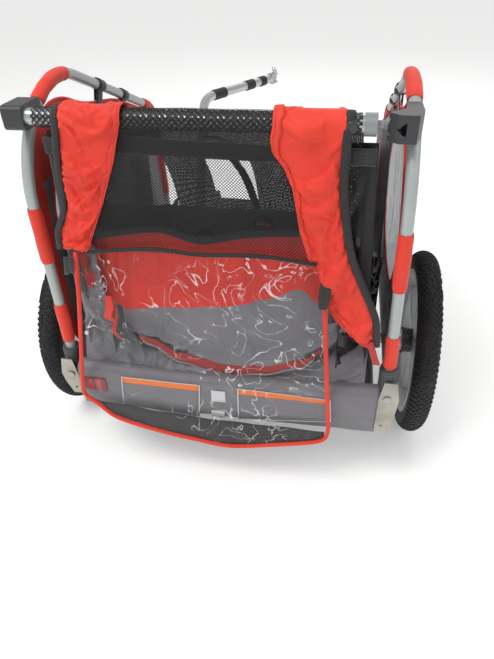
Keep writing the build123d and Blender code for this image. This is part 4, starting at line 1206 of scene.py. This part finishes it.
def placePocket(u, v):
    x = pocketSet["from"] + pocketSet["length"] * u
    top, middle, low = rowAt(pocketTop, x), rowAt(pocketMid, x), rowAt(pocketLow, x)
    z = middle + (top - middle) * (v - 0.5) * 2 if v > 0.5 else low + (middle - low) * v * 2
    belly = pocketSet["belly"] * math.sin(math.pi * (1 - v) * 0.62)
    spot = at(x, pocketSet["ahead"] - belly, z)
    return spot + Vector((0, -1, 0)) * ripples(Vector((x, 0, z)), 11, 0.0055 * math.sin(math.pi * u), 30)


bm = clothGrid(110, 80, placePocket, (0.49, 0.26))
bm.faces.ensure_lookup_table()
for face in bm.faces:
    v = sum(loop[bm.loops.layers.uv["flat"]].uv.y for loop in face.loops) / len(face.loops) / 0.26
    # the upper half takes the red cloth with painted shade
    face.material_index = 0 if v > 0.5 else 1
pocket = finishPiece(bm, "storagePocket", [redNylonPaintedShade, greyNylon], "chassis",
                     replaces=["storage_pocket"])
buckleSheet(pocket, 110, 80, 0.07, frames=18, cap=0.014, gravity=0.4)
lowLine = [pocket.data.vertices[column].co.copy() for column in range(111)]
thicken(pocket, 0.0012, 0)


def placePocketHem(u, v):
    spot = smoothLine(lowLine[24:102], v)
    width = 0.026 * math.sin(math.pi * min(max(v, 0.02), 0.98)) ** 0.35
    return spot + Vector((0, -0.011 - 0.003 * math.sin(math.pi * u), 0.010 - width * u))


pocketHem = finishPiece(clothGrid(8, 110, placePocketHem, (0.026, 0.35)), "pocketHem", darkRedHem, "chassis")
thicken(pocketHem, 0.0014)
light = [placePocketHem(1.0, i / 60) + Vector((0, -0.001, -0.001)) for i in range(2, 59)]
lightPiping = pipeAlong("pocketPiping", light, 0.0018, greyWebbing, "chassis", smoothed=False)
redBand = ribbonAlong("pocketSeam",
                      [at(x, 0.045, rowAt(pocketTop, x) + 0.003)
                       for x in (-0.25, -0.18, -0.10, -0.03, 0.04, 0.11, 0.18, 0.225)], 0.012, 0.0016, blackNylon,
                         "chassis", across=Vector((0, 0.2, 1)))
dangling = []
for number, (x, z, finish,
             length) in enumerate(((-0.198, 0.400, redWebbing, 0.075), (-0.186, 0.398, blackWebbing, 0.062),
                                   (-0.205, 0.415, redNylon, 0.050)), 1):
    piece = ribbonAlong(f"pocketStrap{number}",
                        [at(x, 0.018, z), at(x + 0.004, 0.010, z - length * 0.4),
                         at(x - 0.002, 0.006, z - length * 0.75), at(x + 0.006, 0.010, z - length)],
                           0.009 + 0.006 * (number == 3), 0.0016, finish, "chassis", segments=20)
    dangling.append(piece)
foldFlat(0.24, 0.35, pocket, pocketHem, lightPiping, redBand, *dangling)
print("pocket made")

# right rear opening: webbing and black inner cloth

webLine = [at(0.236, 0.020, 0.704), at(0.240, 0.022, 0.640), at(0.243, 0.022, 0.580), at(0.247, 0.024, 0.515),
           at(0.250, 0.026, 0.440), at(0.246, 0.030, 0.390)]
web = ribbonAlong("rightRearWebbing", webLine, 0.022, 0.0020, blackWebbing, "chassis")
leftWeb = ribbonAlong("leftRearWebbing",
                      [at(-0.243, 0.020, 0.704), at(-0.249, 0.022, 0.600), at(-0.256, 0.024, 0.500),
                       at(-0.258, 0.028, 0.400)], 0.020, 0.0020,
                         blackWebbing, "chassis")


innerSet = {"from": 0.196, "width": 0.040, "low": 0.395, "height": 0.310, "ahead": 0.012, "glossTo": 0.560}


def placeInner(u, v):
    x = innerSet["from"] + innerSet["width"] * u
    z = innerSet["low"] + innerSet["height"] * v
    return at(x, innerSet["ahead"] + 0.004 * math.sin(u * 3) + ripples(Vector((x * 2, 0, z)), 19, 0.004, 17), z)


bm = clothGrid(20, 90, placeInner, (0.04, 0.31))
for face in bm.faces:
    face.material_index = 1 if face.calc_center_median().z > innerSet["glossTo"] else 0
inner = finishPiece(bm, "rightInnerPanel", [blackGloss, doubleMesh], "chassis")
tie = [at(0.268, -0.012, 0.382), at(0.274, -0.012, 0.366), at(0.279, -0.010, 0.350), at(0.286, -0.008, 0.330)]
tail = ribbonAlong("wingTieStrap", tie, 0.012, 0.0018, redWebbing, "chassis", segments=16)
foldFlat(0.20, 0.45, web, leftWeb, inner, tail)
print("rear openings made")

# tyres: rubber with a block tread

tyre = {"x": 0.389, "ahead": 0.248, "z": 0.200, "outer": 0.200, "half": 0.0235, "wrap": 128, "blocks": 96,
        "depth": 0.0020, "beadHalf": 0.0145, "beadRadius": 0.1545, "treadHalf": 0.0205, "treadFrom": 0.178,
        "row": 0.0046,
        "groove": 0.0006}
hub = {"half": 0.029, "radius": 0.0252, "rib": 0.0016, "flare": 0.004, "flareFrom": 0.022, "steps": 36,
       "wall": 0.0008}


def spunSkin(section, steps):
    # a skin spun about the axle from its section line
    bm = bmesh.new()
    verts = [bm.verts.new(p) for p in section]
    edges = [bm.edges.new(pair) for pair in zip(verts, verts[1:])]
    bmesh.ops.spin(bm, geom=verts + edges, axis=(1, 0, 0), cent=(0, 0, 0), steps=steps, angle=2 * math.pi,
                   use_merge=True)
    bmesh.ops.remove_doubles(bm, verts=bm.verts, dist=0.0002)
    bmesh.ops.recalc_face_normals(bm, faces=bm.faces)
    return bm


def onTread(face):
    # every other square of a chequered band round the tyre
    centre = face.calc_center_median()
    angle = math.atan2(centre.y, centre.z) % (2 * math.pi)
    step = int(angle / (2 * math.pi) * tyre["blocks"] * 2 + 0.5)
    row = int(round(abs(centre.x) / tyre["row"]))
    inBand = abs(centre.x) < tyre["treadHalf"] and math.hypot(centre.y, centre.z) > tyre["treadFrom"]
    return inBand and (step + row) % 2 == 0


for side, sign in sideSign.items():
    axle = Matrix.Translation(Vector((sign * tyre["x"], rearLine + tyre["ahead"], tyre["z"])))
    section = [Vector((-tyre["beadHalf"], 0, tyre["beadRadius"]))]
    for i in range(25):
        angle = math.radians(-tyre["wrap"] + 2 * tyre["wrap"] * i / 24)
        middle = tyre["outer"] - tyre["depth"] - tyre["half"]
        radius = middle + math.cos(angle) * tyre["half"]
        section.append(Vector((math.sin(angle) * tyre["half"], 0, radius)))
    section.append(Vector((tyre["beadHalf"], 0, tyre["beadRadius"])))
    bm = spunSkin(section, tyre["blocks"] * 2)
    blocks = [face for face in bm.faces if onTread(face)]
    bmesh.ops.inset_individual(bm, faces=blocks, thickness=tyre["groove"], depth=tyre["depth"])
    bmesh.ops.transform(bm, matrix=axle, verts=bm.verts)
    finishPiece(bm, f"treadedTyre_{side}", tyreRubber, f"{side}_wheel", smooth=False,
                replaces=[f"tyre_{side}"])

    # ribbed sleeve on the hub
    section = []
    for i in range(hub["steps"] + 1):
        x = -hub["half"] + 2 * hub["half"] * i / hub["steps"]
        rib = hub["rib"] if i % 4 in (1, 2) else 0
        flare = hub["flare"] * max(0, abs(x) - hub["flareFrom"]) / (hub["half"] - hub["flareFrom"])
        section.append(Vector((x, 0, hub["radius"] + rib + flare)))
    bm = spunSkin(section, 48)
    bmesh.ops.transform(bm, matrix=axle, verts=bm.verts)
    hubSleeve = finishPiece(bm, f"hubSleeve_{side}", hubPlastic, f"{side}_wheel")
    thicken(hubSleeve, hub["wall"])
print("wheels made")

# camera, floor and light

cameraSettings = {"place": (0.199, -1.58816, 0.944), "yaw": 10.7, "pitch": 36.3, "roll": -1.7,
                  "lens": 540 / 494 * 36}
yaw, pitch, roll = (math.radians(cameraSettings[key]) for key in ("yaw", "pitch", "roll"))
forward = Vector((-math.sin(yaw) * math.cos(pitch), math.cos(yaw) * math.cos(pitch), -math.sin(pitch)))
right = forward.cross(Vector((0, 0, 1))).normalized()
up = right.cross(forward)
axisX = right * math.cos(roll) + up * math.sin(roll)
axisY = up * math.cos(roll) - right * math.sin(roll)
camera = bpy.data.objects.new("camera", bpy.data.cameras.new("camera"))
camera.matrix_world = Matrix((axisX, axisY, -forward)).transposed().to_4x4()
camera.location = cameraSettings["place"]
camera.data.sensor_fit = "HORIZONTAL"
camera.data.sensor_width = 36
camera.data.lens = cameraSettings["lens"]
scene.collection.objects.link(camera)
scene.camera = camera

floorMaterial, tree, output = newMaterial("paleFloor")
skin = addNode(tree, "ShaderNodeBsdfPrincipled",
               {"Base Color": hexColour("fbfbfa"), "Roughness": 0.9, "Emission Color": hexColour("ffffff"),
                "Emission Strength": 0.22})
tree.links.new(skin.outputs[0], output.inputs["Surface"])
bm = bmesh.new()
bmesh.ops.create_grid(bm, x_segments=1, y_segments=1, size=12)
floor = finishPiece(bm, "studioFloor", floorMaterial, None)

lights = {"key": ((-1.0, -1.9, 3.0), 46, 1.1), "fill": ((2.2, -1.2, 2.4), 12, 1.6),
          "back": ((0.4, 2.6, 2.6), 16, 2.0)}
for name, (place, power, size) in lights.items():
    lamp = bpy.data.lights.new(name, "AREA")
    lamp.energy = power
    lamp.size = size
    lampObject = bpy.data.objects.new(name, lamp)
    lampObject.location = place
    lampObject.rotation_euler = (Vector((0, -0.4, 0.35)) - Vector(place)).to_track_quat("-Z", "Y").to_euler()
    scene.collection.objects.link(lampObject)
world = bpy.data.worlds.new("studio")
world.use_nodes = True
world.node_tree.nodes["Background"].inputs["Color"].default_value = hexColour("ffffff")
world.node_tree.nodes["Background"].inputs["Strength"].default_value = 0.62
scene.world = world
scene.view_settings.view_transform = "Standard"
print("camera and light set")
